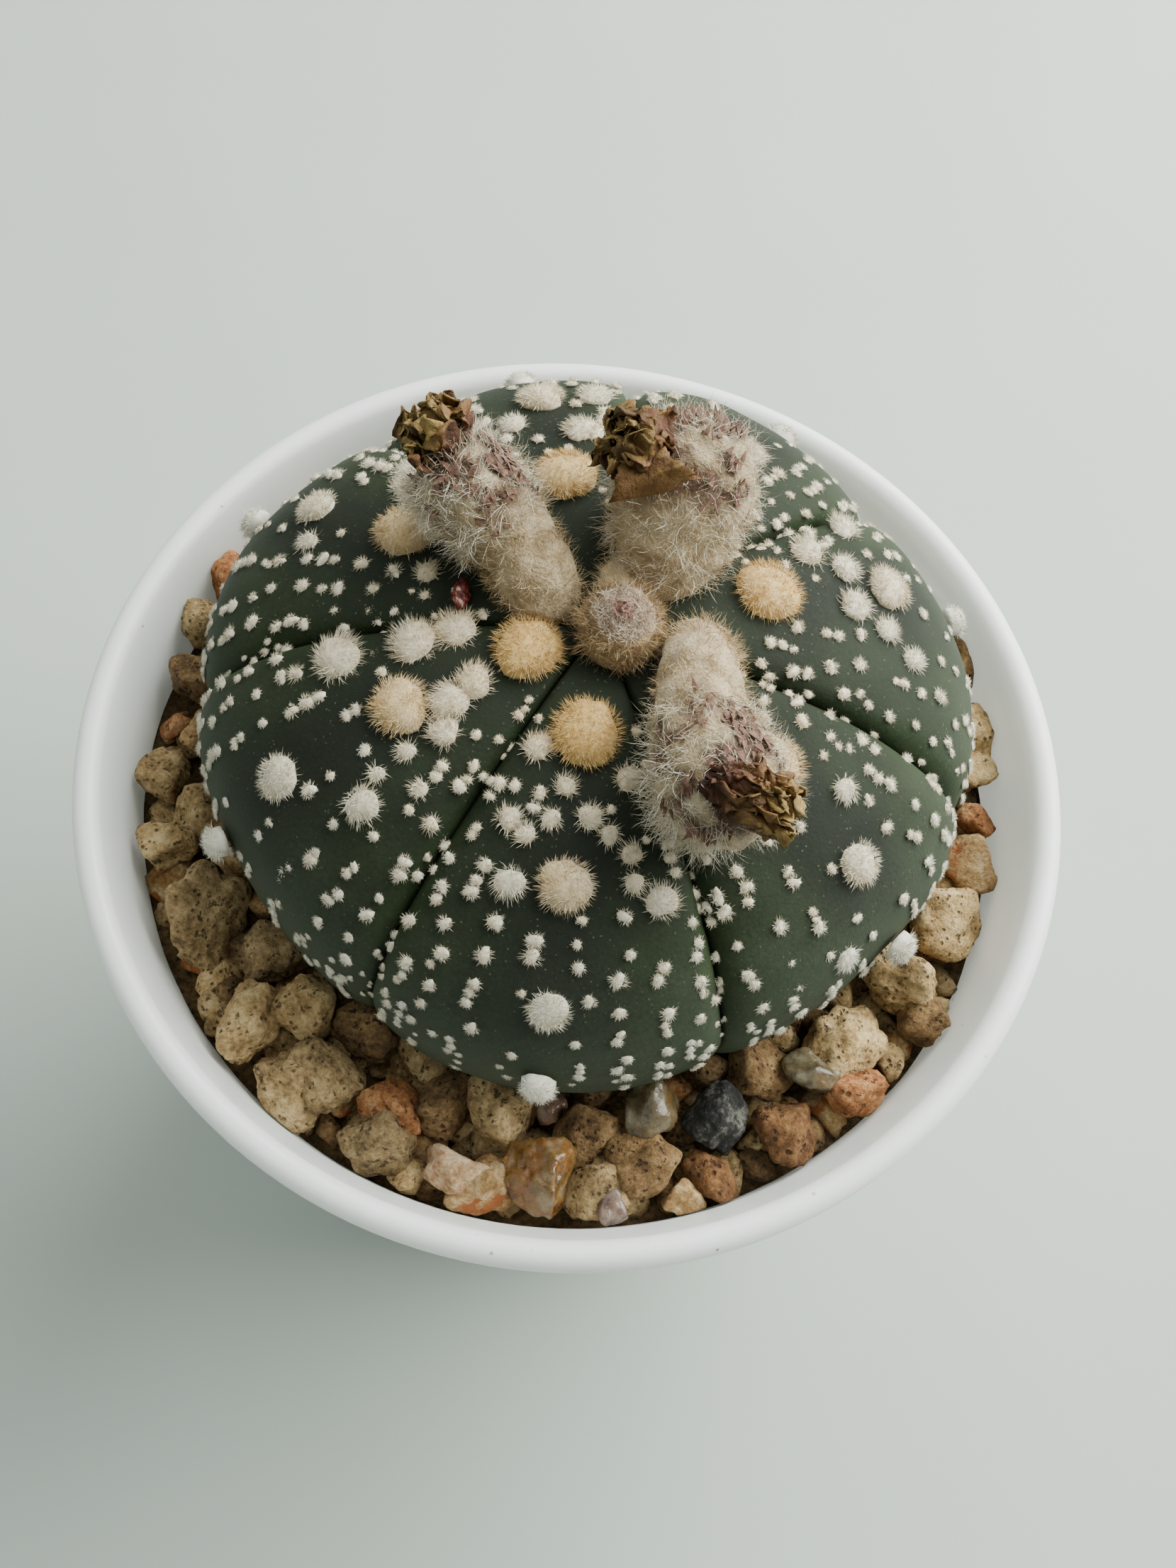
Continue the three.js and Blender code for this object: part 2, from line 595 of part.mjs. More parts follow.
// Accent stones: name, place (x, y), height of the centre over the bed, size, and colour
const ACCENTS = [
  ['pumice_large', [-34.2, -21.4], 2.4, [11, 9.4, 8], 'tan'],
  ['pumice_pale', [-27, -31.2], 2, [8.4, 7, 6.4], 'paleTan'],
  ['pumice_lobed', [-18.6, -34.4], 2.2, [8.6, 7, 7], 'tan'],
  ['granite_orange', [-11.6, -37], 1.8, [7.2, 6.2, 5.6], 'orange'],
  ['feldspar_pink', [-4.8, -41.8], 1.8, [6.8, 4.4, 4.6], 'pink'],
  ['citrine', [3.6, -40.6], 2.4, [7.6, 7, 6.4], 'citrine'],
  ['quartz_rose', [3.6, -34], 1.2, [4.4, 3.8, 3.6], 'rose'],
  ['pebble_round', [13.2, -37.8], 2.2, [8, 7.6, 6.8], 'brown'],
  ['quartz_mauve', [10.4, -43], 1.4, [4, 3.4, 3.2], 'mauve'],
  ['stone_black', [19.4, -32.4], 1.8, [6.2, 5.4, 5], 'black'],
  ['stone_rust', [26.8, -34], 2, [7, 6.4, 6], 'rust'],
  ['quartz_clear', [27.4, -26.6], 1.8, [7, 5.4, 5], 'clear'],
  ['pumice_right', [36.4, -15.6], 2.6, [9.4, 7, 7.4], 'tan'],
  ['stone_umber', [39.6, -20], 1.4, [7, 6, 5.6], 'brown'],
  ['granite_pink', [43.2, 3.4], 1.6, [5, 4.2, 4.2], 'orange'],
  ['pumice_dark', [-41.4, 4.2], 2.2, [7, 6, 6.4], 'umber'],
  ['pumice_yellow', [-34.4, 27], 1.8, [6.2, 5, 5], 'paleTan'],
];

const FILL_RINGS = [[36.2, 16], [39.8, 20], [43, 20]];
const FILL_SIZE = 6.8;

function makeGravel(socket, interior) {
  const surface = BED_SURFACE;
  const build = ([, [x, y], lift, size], index, grow) => (
    stone(new THREE.Vector3(x, y, surface + lift), size, 300 + index, 7, grow)
  );
  const accents = [];
  const rooms = [];
  ACCENTS.forEach((accent, index) => {
    const near = rooms.filter((room) => boxesMeet(room, build(accent, index, 0)));
    let solid = build(accent, index, 0).intersect(interior).subtract(socket);
    near.forEach((room) => {
      solid = solid.subtract(room);
    });
    accents.push(largestPiece(solid));
    rooms.push(build(accent, index, GAP));
  });
  const random = seededRandom(41);
  const centres = ACCENTS.map(([, [x, y], , size]) => ({ x, y, reach: size[0] / 2 }));
  const fill = [];
  FILL_RINGS.forEach(([ring, count], ringIndex) => {
    for (let index = 0; index < count; index += 1) {
      const angle = (TAU * (index + 0.5 * ringIndex + 0.3 * random())) / count;
      const x = ring * Math.cos(angle);
      const y = ring * Math.sin(angle);
      const size = FILL_SIZE * (0.75 + 0.5 * random());
      const free = centres.every((other) => Math.hypot(x - other.x, y - other.y) > other.reach * 0.9 + size * 0.1);
      const clear = Math.hypot(x - PLANT_CENTRE.x, y - PLANT_CENTRE.y) > PLANT_RADIUS - 4;
      if (free && clear) {
        const lift = 0.6 + 1.2 * random();
        const sizes = [size, size * (0.75 + 0.2 * random()), size * (0.7 + 0.2 * random())];
        fill.push(stone(new THREE.Vector3(x, y, surface + lift), sizes, 500 + fill.length, 5));
      }
    }
  });
  const half = 2 * RIM_RADIUS;
  const underSurface = wasm.Manifold.cube([2 * half, 2 * half, surface], false).translate([-half, -half, 0]);
  const mix = joined([interior.intersect(underSurface), ...fill]).intersect(interior);
  const bed = largestPiece(mix.subtract(joined([socket, ...rooms])));
  return { bed, accents };
}

// Materials

const finish = (color, roughness, metalness = 0) => (
  new THREE.MeshStandardMaterial({ color, roughness, metalness, flatShading: true })
);

const STONE_FINISH = {
  tan: [0x9c8663, 0.95],
  paleTan: [0xb09c78, 0.95],
  orange: [0xb5764a, 0.85],
  pink: [0xc9a184, 0.7],
  citrine: [0xb39a70, 0.3],
  rose: [0xa78a7c, 0.45],
  brown: [0x86694a, 0.85],
  mauve: [0x9a7f80, 0.5],
  black: [0x26282b, 0.5],
  rust: [0x83532f, 0.85],
  clear: [0x8f8f84, 0.25],
  umber: [0x6a573f, 0.95],
};

function meshOf(name, solid, material) {
  const { vertProperties, triVerts, numProp } = solid.getMesh();
  const positions = [];
  for (let index = 0; index < vertProperties.length; index += numProp) {
    positions.push(vertProperties[index], vertProperties[index + 1], vertProperties[index + 2]);
  }
  const geometry = new THREE.BufferGeometry();
  geometry.setAttribute('position', new THREE.Float32BufferAttribute(positions, 3));
  geometry.setIndex([...triVerts]);
  geometry.computeVertexNormals();
  const mesh = new THREE.Mesh(geometry, material);
  mesh.name = name;
  return mesh;
}

// Assembly

const cactus = new THREE.Group();
cactus.name = 'potted_star_cactus';

cactus.add(meshOf('pot', makePot(), finish(0xe9ebe8, 0.35)));

const interior = potInterior(GAP);
const { bed, accents } = makeGravel(plantSocket(), interior);
cactus.add(meshOf('gravel_bed', bed, finish(0x94805f, 0.95)));
accents.forEach((solid, index) => {
  const [name, , , , colour] = ACCENTS[index];
  const [hex, roughness] = STONE_FINISH[colour];
  cactus.add(meshOf(name, solid, finish(hex, roughness)));
});

const flowers = FLOWERS.map(makeFlower);
const flowerRooms = joined(flowers.map(({ room }) => room));
const body = makeBody().subtract(flowerRooms).subtract(makeBud(GAP));
cactus.add(meshOf('cactus_body', largestPiece(body), finish(0x3c4a3a, 0.8)));
flowers.forEach(({ tube, corolla }, index) => {
  cactus.add(meshOf(`flower_tube_${index + 1}`, tube, finish(0xb9a48e, 1)));
  cactus.add(meshOf(`dried_flower_${index + 1}`, corolla, finish(0x6f5a30, 0.85)));
});
cactus.add(meshOf('young_bud', largestPiece(makeBud().subtract(flowerRooms)), finish(0xb79f86, 1)));
cactus.add(meshOf('dry_scrap', makeScrap(), finish(0x5a1f16, 0.8)));

export default cactus;
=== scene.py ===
import math

import bmesh
import bpy
import numpy as np
from mathutils import Matrix, Vector


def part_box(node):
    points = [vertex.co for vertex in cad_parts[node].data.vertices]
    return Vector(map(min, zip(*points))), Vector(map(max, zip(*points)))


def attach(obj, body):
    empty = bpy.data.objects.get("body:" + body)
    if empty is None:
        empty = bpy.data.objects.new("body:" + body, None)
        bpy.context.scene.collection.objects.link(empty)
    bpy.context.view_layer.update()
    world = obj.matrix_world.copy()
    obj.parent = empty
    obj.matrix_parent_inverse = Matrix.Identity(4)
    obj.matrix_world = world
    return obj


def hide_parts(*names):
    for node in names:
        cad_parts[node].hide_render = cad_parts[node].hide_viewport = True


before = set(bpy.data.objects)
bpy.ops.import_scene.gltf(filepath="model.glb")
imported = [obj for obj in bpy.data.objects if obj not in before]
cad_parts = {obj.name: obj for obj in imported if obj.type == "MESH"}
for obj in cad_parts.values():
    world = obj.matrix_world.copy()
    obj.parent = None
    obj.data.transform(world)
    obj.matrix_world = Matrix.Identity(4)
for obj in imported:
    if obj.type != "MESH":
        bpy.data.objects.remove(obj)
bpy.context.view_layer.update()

MM = 0.001

# Sizes read off the pot part in model.glb
POT_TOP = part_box("pot")[1].z
RIM_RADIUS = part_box("pot")[1].x

# Camera: its place over the centre of the rim, how far it looks down and how far it is rolled
CAMERA_OVER_RIM = (1.575 * MM, -64.28 * MM, 135.97 * MM)
LOOKS_DOWN = math.radians(65.79)
CAMERA_ROLL = math.radians(9.63)
FOCAL_LENGTH_PX = 2097.4
PHOTO_HEIGHT_PX = 2212
SENSOR_MM = 36

# Pot
RIM_ROLL = 2.8 * MM
LIP_HEIGHT = 3.2 * MM
LIP_OVERHANG = 2.4 * MM
WALL = 1.5 * MM
FLOOR_THICKNESS = 2 * MM
FOOT_RADIUS = 37 * MM
DRAIN_HOLES = 6
DRAIN_RADIUS = 3 * MM
DRAIN_CIRCLE = 23 * MM
POT_TURNS = 144

# Plant
PLANT_X = 0.3 * MM
PLANT_Y = 4.6 * MM
PLANT_RADIUS = 38.3 * MM
FOUR_LOBE = 0.7 * MM
TWO_LOBE = 0.4 * MM
WIDEST_HEIGHT = POT_TOP + 0.8 * MM
DOME_RISE = 18.2 * MM
DOME_POWER = 2.25
CROWN_DIP = 1.3 * MM
CROWN_DIP_RADIUS = 5 * MM
UNDERSIDE_DROP = 25 * MM
UNDERSIDE_POWER = 0.8
ROOT_RADIUS = 7 * MM
TAPROOT_LENGTH = 24 * MM
RIB_COLUMNS = 48
ROWS_OVER = 96
ROWS_UNDER = 26
GROOVE_ANGLES = np.array([189, 245, 299, 352, 404, 452, 498, 549])
CREST_ANGLES = np.array([214, 272, 328, 384, 426, 470, 520])
RIBS = len(CREST_ANGLES)
GROOVE_DEPTH = 2.1 * MM
GROOVE_AT_CROWN = 0.25
CROWN_FADE_RADIUS = 12 * MM
RIB_ROUNDING = 0.45
NOTCH_POWER = 8
STEP_NUDGE = 0.02
CREASE_DEPTH = 1.7 * MM
CREASE_SHARE = 0.04
CREASE_AT_CROWN = 0.55
CREASE_FADE_RADIUS = 5 * MM
MARGIN_FILL = 0.55
MARGIN_FILL_FROM = 0.7

# Gravel
BED_SURFACE = POT_TOP - 8.5 * MM
MIX_UNDER_STONES = 2.4 * MM
BED_TURNS = 120
BED_ROWS = 26
WALL_CLEARANCE = 0.15 * MM
MOST_MOVED = 1.6 * MM
STONE_RELIEF = 0.5 * MM

# Wool: how much lighter the tip of a strand is than its root, and the thickness of felt and wool in mm
TIP_LIGHTENING = 0.3
FELT_HAIR = (0.035, 0.06)
WOOL_HAIR = (0.03, 0.058)

# Seeds of the random draws; those of single flowers and stones count up from theirs
AREOLE_SEED = 11
FLECK_SEED = 23
PATCH_SEED = 30
BUD_PATCH_SEED = 50
FLOWER_SEED = 70
BUD_SEED = 80
COROLLA_SEED = 90
SCRAP_SEED = 91
BED_SEED = 77
FILL_SEED = 140
SEEN_SEED = 141
NAMED_STONE_SEED = 300
SEEN_STONE_SEED = 500
FILL_STONE_SEED = 600

# Turn between one petal or scale and the next, in radians
GOLDEN_TURN = 2.39996

# Lights: place, size, power and colour
WINDOW_LIGHT = (0.38, 0.34, 0.46), (0.85, 0.55), 17.5, (0.965, 1.0, 0.955)
SKY_LIGHT = (-1.1, 0.7, 3), (3, 3), 41, (0.93, 0.99, 0.955)
ROOM_COLOUR = (0.86, 0.96, 0.91, 1)
ROOM_POWER = 0.34
FLOOR_SIZE = 30


# Numbers

HASH_PRIMES = (73856093, 19349663, 83492791)


def smooth_noise(points, seed):
    """Noise from -1 to 1 at each row of points, with features one unit across."""
    cell = np.floor(points).astype(np.int64)
    part = points - cell
    part = part * part * (3 - 2 * part)
    total = np.zeros(len(points))
    for corner in range(8):
        step = np.array([corner & 1, (corner >> 1) & 1, (corner >> 2) & 1])
        at = cell + step
        first, second, third = (at * HASH_PRIMES).T
        mixed = first ^ second ^ third ^ (seed * 40503 + 12345)
        mixed = (mixed ^ (mixed >> 13)) * 1274126177
        mixed = (mixed ^ (mixed >> 16)) & 0xFFFFFF
        weight = np.prod(np.where(step, part, 1 - part), axis=1)
        total += (mixed / 0x7FFFFF - 1) * weight
    return total


def rough_noise(points, octaves, seed):
    """Noise with finer, weaker octaves on top."""
    total = np.zeros(len(points))
    for octave in range(octaves):
        total += smooth_noise(points * 2 ** octave, seed + octave) / 2 ** octave
    return total


def unit(vectors):
    """The vectors brought to length 1."""
    return vectors / np.maximum(np.linalg.norm(vectors, axis=-1, keepdims=True), 1e-12)


def across_axes(ways):
    """Two unit vectors square to each row of ways."""
    helper = np.where(np.abs(ways[:, 2:]) < 0.9, [[0.0, 0.0, 1.0]], [[1.0, 0.0, 0.0]])
    side = unit(np.cross(ways, helper))
    return side, np.cross(side, ways)


# Meshes

def mesh_object(name, points, faces, material):
    """An object from an array of points and an array of faces, all with the same number of corners."""
    mesh = bpy.data.meshes.new(name)
    corners = faces.shape[1]
    mesh.vertices.add(len(points))
    mesh.vertices.foreach_set("co", np.ascontiguousarray(points, np.float32).ravel())
    mesh.loops.add(faces.size)
    mesh.loops.foreach_set("vertex_index", np.ascontiguousarray(faces, np.int32).ravel())
    mesh.polygons.add(len(faces))
    mesh.polygons.foreach_set("loop_start", np.arange(0, faces.size, corners, dtype=np.int32))
    mesh.update(calc_edges=True)
    mesh.validate()
    mesh.polygons.foreach_set("use_smooth", np.full(len(mesh.polygons), True))
    mesh.materials.append(material)
    made = bpy.data.objects.new(name, mesh)
    bpy.context.scene.collection.objects.link(made)
    return made


def add_values(piece, name, values):
    """A number at each point of a piece, for its material."""
    layer = piece.data.attributes.new(name, "FLOAT", "POINT")
    layer.data.foreach_set("value", np.ascontiguousarray(values, np.float32))


def merged(parts):
    """One pair of points and faces from several."""
    offset = 0
    all_points, all_faces = [], []
    for points, faces in parts:
        all_points.append(points)
        all_faces.append(faces + offset)
        offset += len(points)
    return np.concatenate(all_points), np.concatenate(all_faces)


def grid_faces(rows, columns, closed=True):
    """Faces over a grid of points, as four corners; closed joins the last column to the first."""
    wide = columns if closed else columns - 1
    row, column = np.meshgrid(np.arange(rows - 1), np.arange(wide), indexing="ij")
    start = row * columns
    after = (column + 1) % columns
    corners = [start + column, start + after, start + columns + after, start + columns + column]
    return np.stack(corners, axis=-1).reshape(-1, 4)


def turned(profile, turns):
    """Rings of points from a profile of radius and height, turned about the pot's axis."""
    angle = np.arange(turns) * 2 * math.pi / turns
    radius, height = profile[:, :1], profile[:, 1:]
    rings = [radius * np.cos(angle), radius * np.sin(angle), np.repeat(height, turns, axis=1)]
    return np.stack(rings, axis=-1)


def to_triangles(faces):
    """Faces of four corners, each as two triangles."""
    return np.concatenate([faces[:, [0, 1, 2]], faces[:, [0, 2, 3]]])


def capped_grid(rings, start, end):
    """A closed skin through rings of points, with a point at each end, in triangles."""
    rows, columns, _ = rings.shape
    points = np.concatenate([rings.reshape(-1, 3), [start], [end]])
    column = np.arange(columns)
    after = (column + 1) % columns
    first = np.stack([np.full(columns, rows * columns), after, column], axis=-1)
    low = (rows - 1) * columns
    last = np.stack([np.full(columns, rows * columns + 1), low + column, low + after], axis=-1)
    return points, np.concatenate([to_triangles(grid_faces(rows, columns)), first, last])


def ball(cuts):
    """Points and triangles of a ball of radius 1."""
    mesh = bmesh.new()
    bmesh.ops.create_icosphere(mesh, subdivisions=cuts, radius=1)
    mesh.verts.ensure_lookup_table()
    points = np.array([v.co for v in mesh.verts])
    faces = np.array([[v.index for v in f.verts] for f in mesh.faces])
    mesh.free()
    return points, faces


def strands(roots, ways, lengths, widths, curl, segments, rng):
    """Thin ribbons that taper to a point and turn by up to curl radians at each of their segments."""
    count = len(roots)
    axis = unit(rng.normal(0, 1, (count, 3)))
    turn = (rng.uniform(-curl, curl, count))[:, None]
    side = unit(np.cross(ways, rng.normal(0, 1, (count, 3))))
    centre, way = roots, ways
    rows = []
    for index in range(segments):
        half = (widths / 2 * (1 - 0.55 * index / segments))[:, None]
        rows += [centre - side * half, centre + side * half]
        centre = centre + way * (lengths / segments)[:, None]
        way = unit(way + np.cross(axis, way) * turn)
    rows.append(centre)
    points = np.stack(rows, axis=1)
    pattern = []
    for index in range(segments - 1):
        low = 2 * index
        pattern += [(low, low + 1, low + 3), (low, low + 3, low + 2)]
    pattern.append((2 * segments - 2, 2 * segments - 1, 2 * segments))
    start = (np.arange(count) * (2 * segments + 1))[:, None, None]
    return points.reshape(-1, 3), (start + np.array(pattern)[None]).reshape(-1, 3)


def hair_object(name, parts, segments, material, rng, **values):
    """One piece of many strands, each with its own tone and lighter to its tip.

    Values are given for each part.
    """
    points, faces = merged(parts)
    piece = mesh_object(name, points, faces, material)
    each = 2 * segments + 1
    count = len(points) // each
    along = np.repeat(np.arange(segments + 1) / segments, 2)[:each]
    own_tone = np.repeat(rng.uniform(0, 1 - TIP_LIGHTENING, count), each)
    add_values(piece, "tone", own_tone + np.tile(along, count) * TIP_LIGHTENING)
    for key, found in values.items():
        add_values(piece, key, np.concatenate([np.full(len(p), v) for (p, _), v in zip(parts, found)]))
    return piece


# Materials

def linear(colour):
    """A display colour, 0 to 255, as linear light with its alpha."""
    return (*(((c / 255 + 0.055) / 1.055) ** 2.4 if c > 10.3 else c / 255 / 12.92 for c in colour), 1)


class Shader:
    """A material of nodes over one principled shader. Its colours are display colours, 0 to 255."""

    def __init__(self, name, roughness, **settings):
        self.material = bpy.data.materials.new(name)
        self.material.use_nodes = True
        self.tree = self.material.node_tree
        self.tree.nodes.clear()
        self.surface = self.node("BsdfPrincipled", Roughness=roughness, **settings)
        self.node("OutputMaterial", Surface=self.surface.outputs[0])
        self.place = self.node("TexCoord").outputs["Object"]

    def feed(self, socket, term):
        """Set an input to a number or a colour, or link it to another node's output."""
        if isinstance(term, bpy.types.NodeSocket):
            self.tree.links.new(term, socket)
        else:
            socket.default_value = linear(term) if isinstance(term, tuple) else term

    def node(self, kind, **terms):
        """A new node, with what goes into its inputs by their names."""
        made = self.tree.nodes.new(f"ShaderNode{kind}")
        for name, term in terms.items():
            self.feed(made.inputs[name.replace("_", " ")], term)
        return made

    def noise(self, size, detail=4, roughness=0.55):
        """Noise with features about size across, in metres."""
        made = self.node("TexNoise", Vector=self.place, Scale=1 / size, Detail=detail, Roughness=roughness)
        return made.outputs["Fac"]

    def cells(self, size):
        """The distance from the nearest of many scattered points, about size apart."""
        return self.node("TexVoronoi", Vector=self.place, Scale=1 / size).outputs["Distance"]

    def value(self, name):
        """A number that the mesh holds at each of its points."""
        made = self.node("Attribute")
        made.attribute_name = name
        return made.outputs["Fac"]

    def remap(self, source, low, high, to_low=0.0, to_high=1.0):
        """A value between low and high stretched to another range, and held at its ends."""
        ends = {"From_Min": low, "From_Max": high, "To_Min": to_low, "To_Max": to_high}
        return self.node("MapRange", Value=source, **ends).outputs[0]

    def math(self, operation, first, second):
        made = self.node("Math")
        made.operation = operation
        for socket, term in zip(made.inputs, (first, second)):
            self.feed(socket, term)
        return made.outputs[0]

    def times(self, first, second):
        return self.math("MULTIPLY", first, second)

    def plus(self, first, second):
        return self.math("ADD", first, second)

    def ramp(self, source, *stops):
        """Colours along a value: (place, colour) pairs."""
        made = self.node("ValToRGB", Fac=source)
        elements = made.color_ramp.elements
        while len(elements) < len(stops):
            elements.new(0.5)
        for element, (place, colour) in zip(elements, stops):
            element.position = place
            element.color = linear(colour)
        return made.outputs[0]

    def mix(self, share, first, second, blend="MIX"):
        made = self.node("Mix")
        made.data_type = "RGBA"
        made.blend_type = blend
        for index, term in ((0, share), (6, first), (7, second)):
            self.feed(made.inputs[index], term)
        return made.outputs[2]

    def scaled(self, colour, factor):
        """A colour made darker or lighter by a factor."""
        grey = self.node("CombineColor", Red=factor, Green=factor, Blue=factor)
        return self.mix(1.0, colour, grey.outputs[0], "MULTIPLY")

    def toned(self, colour, low=0.7, high=1.1):
        """A colour made darker or lighter by the tone of each strand or stone."""
        return self.scaled(colour, self.remap(self.value("tone"), 0, 1, low, high))

    def tinted(self, base, source, strength, colour):
        """A colour that goes over to another where a source is high, up to a strength."""
        return self.mix(self.times(source, strength), base, colour)

    def paint(self, colour):
        self.feed(self.surface.inputs["Base Color"], colour)

    def gloss(self, value):
        self.feed(self.surface.inputs["Roughness"], value)

    def relief(self, height, depth, strength=1.0):
        """Bump from a height of 0 to 1 that stands depth metres tall."""
        bump = self.node("Bump", Strength=strength, Distance=depth, Height=height)
        self.feed(self.surface.inputs["Normal"], bump.outputs[0])


def pot_material():
    made = Shader("pot_plastic", 0.36, Subsurface_Weight=0.75, Subsurface_Scale=4 * MM, IOR=1.5)
    made.surface.inputs["Subsurface Radius"].default_value = (1, 0.95, 0.9)
    clean = made.ramp(made.noise(14 * MM, 3), (0.35, (242, 244, 240)), (0.65, (250, 251, 248)))
    near = made.remap(made.cells(2.6 * MM), 0.09, 0.04)
    speck = made.times(near, made.remap(made.noise(6 * MM, 5), 0.52, 0.6))
    made.paint(made.mix(speck, clean, (176, 160, 134)))
    made.gloss(made.remap(made.noise(3 * MM, 4), 0.3, 0.7, 0.3, 0.46))
    made.relief(made.noise(0.9 * MM, 3), 0.03 * MM, 0.5)
    return made.material


def skin_material():
    made = Shader("cactus_skin", 0.72, Specular_IOR_Level=0.16)
    broad = made.noise(7 * MM, 4)
    grain = made.noise(0.4 * MM, 4, 0.7)
    base = made.ramp(broad, (0.3, (38, 45, 31)), (0.7, (51, 59, 41)))
    base = made.tinted(base, made.value("crest"), 0.75, (30, 32, 29))
    base = made.tinted(base, made.value("groove"), 0.6, (46, 64, 32))
    # Painted sheen: the skin lighter towards its widest line, as light caught on the margins
    base = made.tinted(base, made.value("margin_sheen"), 0.5, (82, 90, 75))
    # Painted shade: the skin darker towards the crown
    base = made.tinted(base, made.value("crown_shade"), 0.6, (24, 30, 20))
    # Painted shade: a near-black line down the crease at the bottom of each groove
    base = made.mix(made.value("crease_shade"), base, (12, 22, 8))
    base = made.scaled(base, made.remap(grain, 0.3, 0.75, 0.76, 1.24))
    dot = made.remap(made.cells(0.55 * MM), 0.2, 0.1)
    keep = made.remap(made.noise(2 * MM, 2), 0.46, 0.62)
    made.paint(made.tinted(base, made.times(dot, keep), 0.6, (104, 106, 88)))
    made.gloss(made.remap(grain, 0.3, 0.7, 0.58, 0.8))
    height = made.plus(made.noise(0.35 * MM, 3), made.times(broad, 1.5))
    made.relief(height, 0.07 * MM, 0.6)
    return made.material


def felt_material():
    """Felt that goes from white to golden with the warmth of each tuft."""
    made = Shader("felt", 0.95, Specular_IOR_Level=0.1, Sheen_Weight=0.15, Sheen_Roughness=0.5)
    blend = made.noise(0.6 * MM, 4, 0.6)
    white = made.ramp(blend, (0.32, (222, 217, 198)), (0.66, (246, 243, 230)))
    golden = made.ramp(blend, (0.32, (204, 162, 94)), (0.66, (236, 202, 138)))
    drift = made.remap(made.noise(3 * MM, 2), 0.3, 0.7, -0.1, 0.1)
    share = made.plus(made.value("warmth"), drift)
    made.paint(made.toned(made.mix(made.math("MAXIMUM", share, 0), white, golden)))
    made.relief(made.noise(0.25 * MM, 3), 0.1 * MM, 0.6)
    return made.material


def wool_material(name, dark, light, tint, tint_share):
    """Wool in two tones; where a point's patch value is 1 it goes over to the tint."""
    made = Shader(name, 0.95, Specular_IOR_Level=0.12, Sheen_Weight=0.15, Sheen_Roughness=0.5)
    lock = made.noise(1.2 * MM, 4, 0.6)
    base = made.ramp(lock, (0.3, dark), (0.68, light))
    made.paint(made.toned(made.tinted(base, made.value("patch"), tint_share, tint)))
    made.relief(made.noise(0.3 * MM, 3), 0.3 * MM, 0.9)
    return made.material


def petal_material():
    made = Shader("dried_petal", 0.7, Specular_IOR_Level=0.3)
    cloud = made.noise(1.1 * MM, 5, 0.7)
    veins = made.noise(0.35 * MM, 3, 0.6)
    age = made.plus(made.times(made.value("along"), 0.62), made.times(cloud, 0.6))
    base = made.ramp(
        age,
        (0.28, (64, 36, 30)),
        (0.54, (96, 60, 38)),
        (0.74, (122, 90, 50)),
        (0.92, (158, 132, 76)),
    )
    # Painted shade: darker brown deep in the folds of the crumpled petals
    base = made.tinted(base, made.value("fold_shade"), 0.8, (48, 28, 18))
    made.paint(made.tinted(base, made.remap(veins, 0.55, 0.7), 0.6, (84, 52, 32)))
    made.gloss(made.remap(cloud, 0.3, 0.7, 0.5, 0.85))
    made.relief(made.plus(cloud, veins), 0.25 * MM, 0.9)
    return made.material


def scale_material(name, dark, light):
    made = Shader(name, 0.75, Specular_IOR_Level=0.2)
    made.paint(made.ramp(made.noise(0.8 * MM, 3), (0.3, dark), (0.7, light)))
    made.relief(made.noise(0.3 * MM, 2), 0.08 * MM, 0.6)
    return made.material


def stone_material(name, dark, middle, light, pit_shade=None, pit_size=0.9, gloss=(0.82, 0.97), veins=None):
    """A mineral surface in three tones, where given with shade painted dark into its pits and a second
    mineral in veins.
    """
    made = Shader(name, 0.9, Specular_IOR_Level=0.3)
    cloud = made.noise(2.6 * MM, 6, 0.6)
    grit = made.noise(0.5 * MM, 5, 0.7)
    blend = made.plus(made.times(cloud, 0.55), made.times(grit, 0.45))
    base = made.ramp(blend, (0.39, dark), (0.5, middle), (0.61, light))
    height = grit
    if veins:
        vein = made.remap(made.noise(3.4 * MM, 4, 0.6), 0.54, 0.6)
        base = made.mix(vein, base, veins)
    if pit_shade:
        near = made.remap(made.cells(pit_size * MM), 0.26, 0.12)
        dots = made.times(near, made.remap(made.noise(2 * MM, 2), 0.42, 0.56))
        hole = made.math("MAXIMUM", dots, made.remap(made.noise(0.85 * MM, 3, 0.6), 0.39, 0.31))
        # Painted shade: the pits and holes darkened, as the shade inside them
        base = made.tinted(base, hole, 0.8, pit_shade)
        height = made.math("SUBTRACT", grit, hole)
    made.paint(made.toned(base, 0.72, 1.22))
    made.gloss(made.remap(grit, 0.3, 0.7, *gloss))
    made.relief(height, STONE_RELIEF, 0.9)
    return made.material


def clear_material(name, tint, inside, cloudy, stain=None):
    """Clear or cloudy quartz: light goes in, and its inside is flawed and stained."""
    made = Shader(name, 0.16, Transmission_Weight=0.55, IOR=1.54)
    cloud = made.noise(2.2 * MM, 5, 0.6)
    base = made.ramp(cloud, (0.34, inside), (0.52, tint), (0.68, cloudy))
    if stain:
        base = made.mix(made.remap(made.noise(3.2 * MM, 3), 0.46, 0.74), base, stain)
    made.paint(base)
    made.gloss(made.remap(made.noise(1.1 * MM, 4), 0.3, 0.7, 0.1, 0.42))
    made.relief(made.noise(0.8 * MM, 4), 0.2 * MM, 0.6)
    return made.material


def soil_material():
    made = Shader("soil", 0.97, Specular_IOR_Level=0.2)
    grain = made.noise(0.8 * MM, 6, 0.7)
    made.paint(made.ramp(grain, (0.35, (50, 40, 28)), (0.62, (116, 94, 62))))
    made.relief(grain, 0.6 * MM)
    return made.material


# Pot

def wall_radius(height):
    """Outer radius of the wall at a height, under the lip."""
    top = RIM_RADIUS - LIP_OVERHANG
    return FOOT_RADIUS + (top - FOOT_RADIUS) * height / (POT_TOP - LIP_HEIGHT)


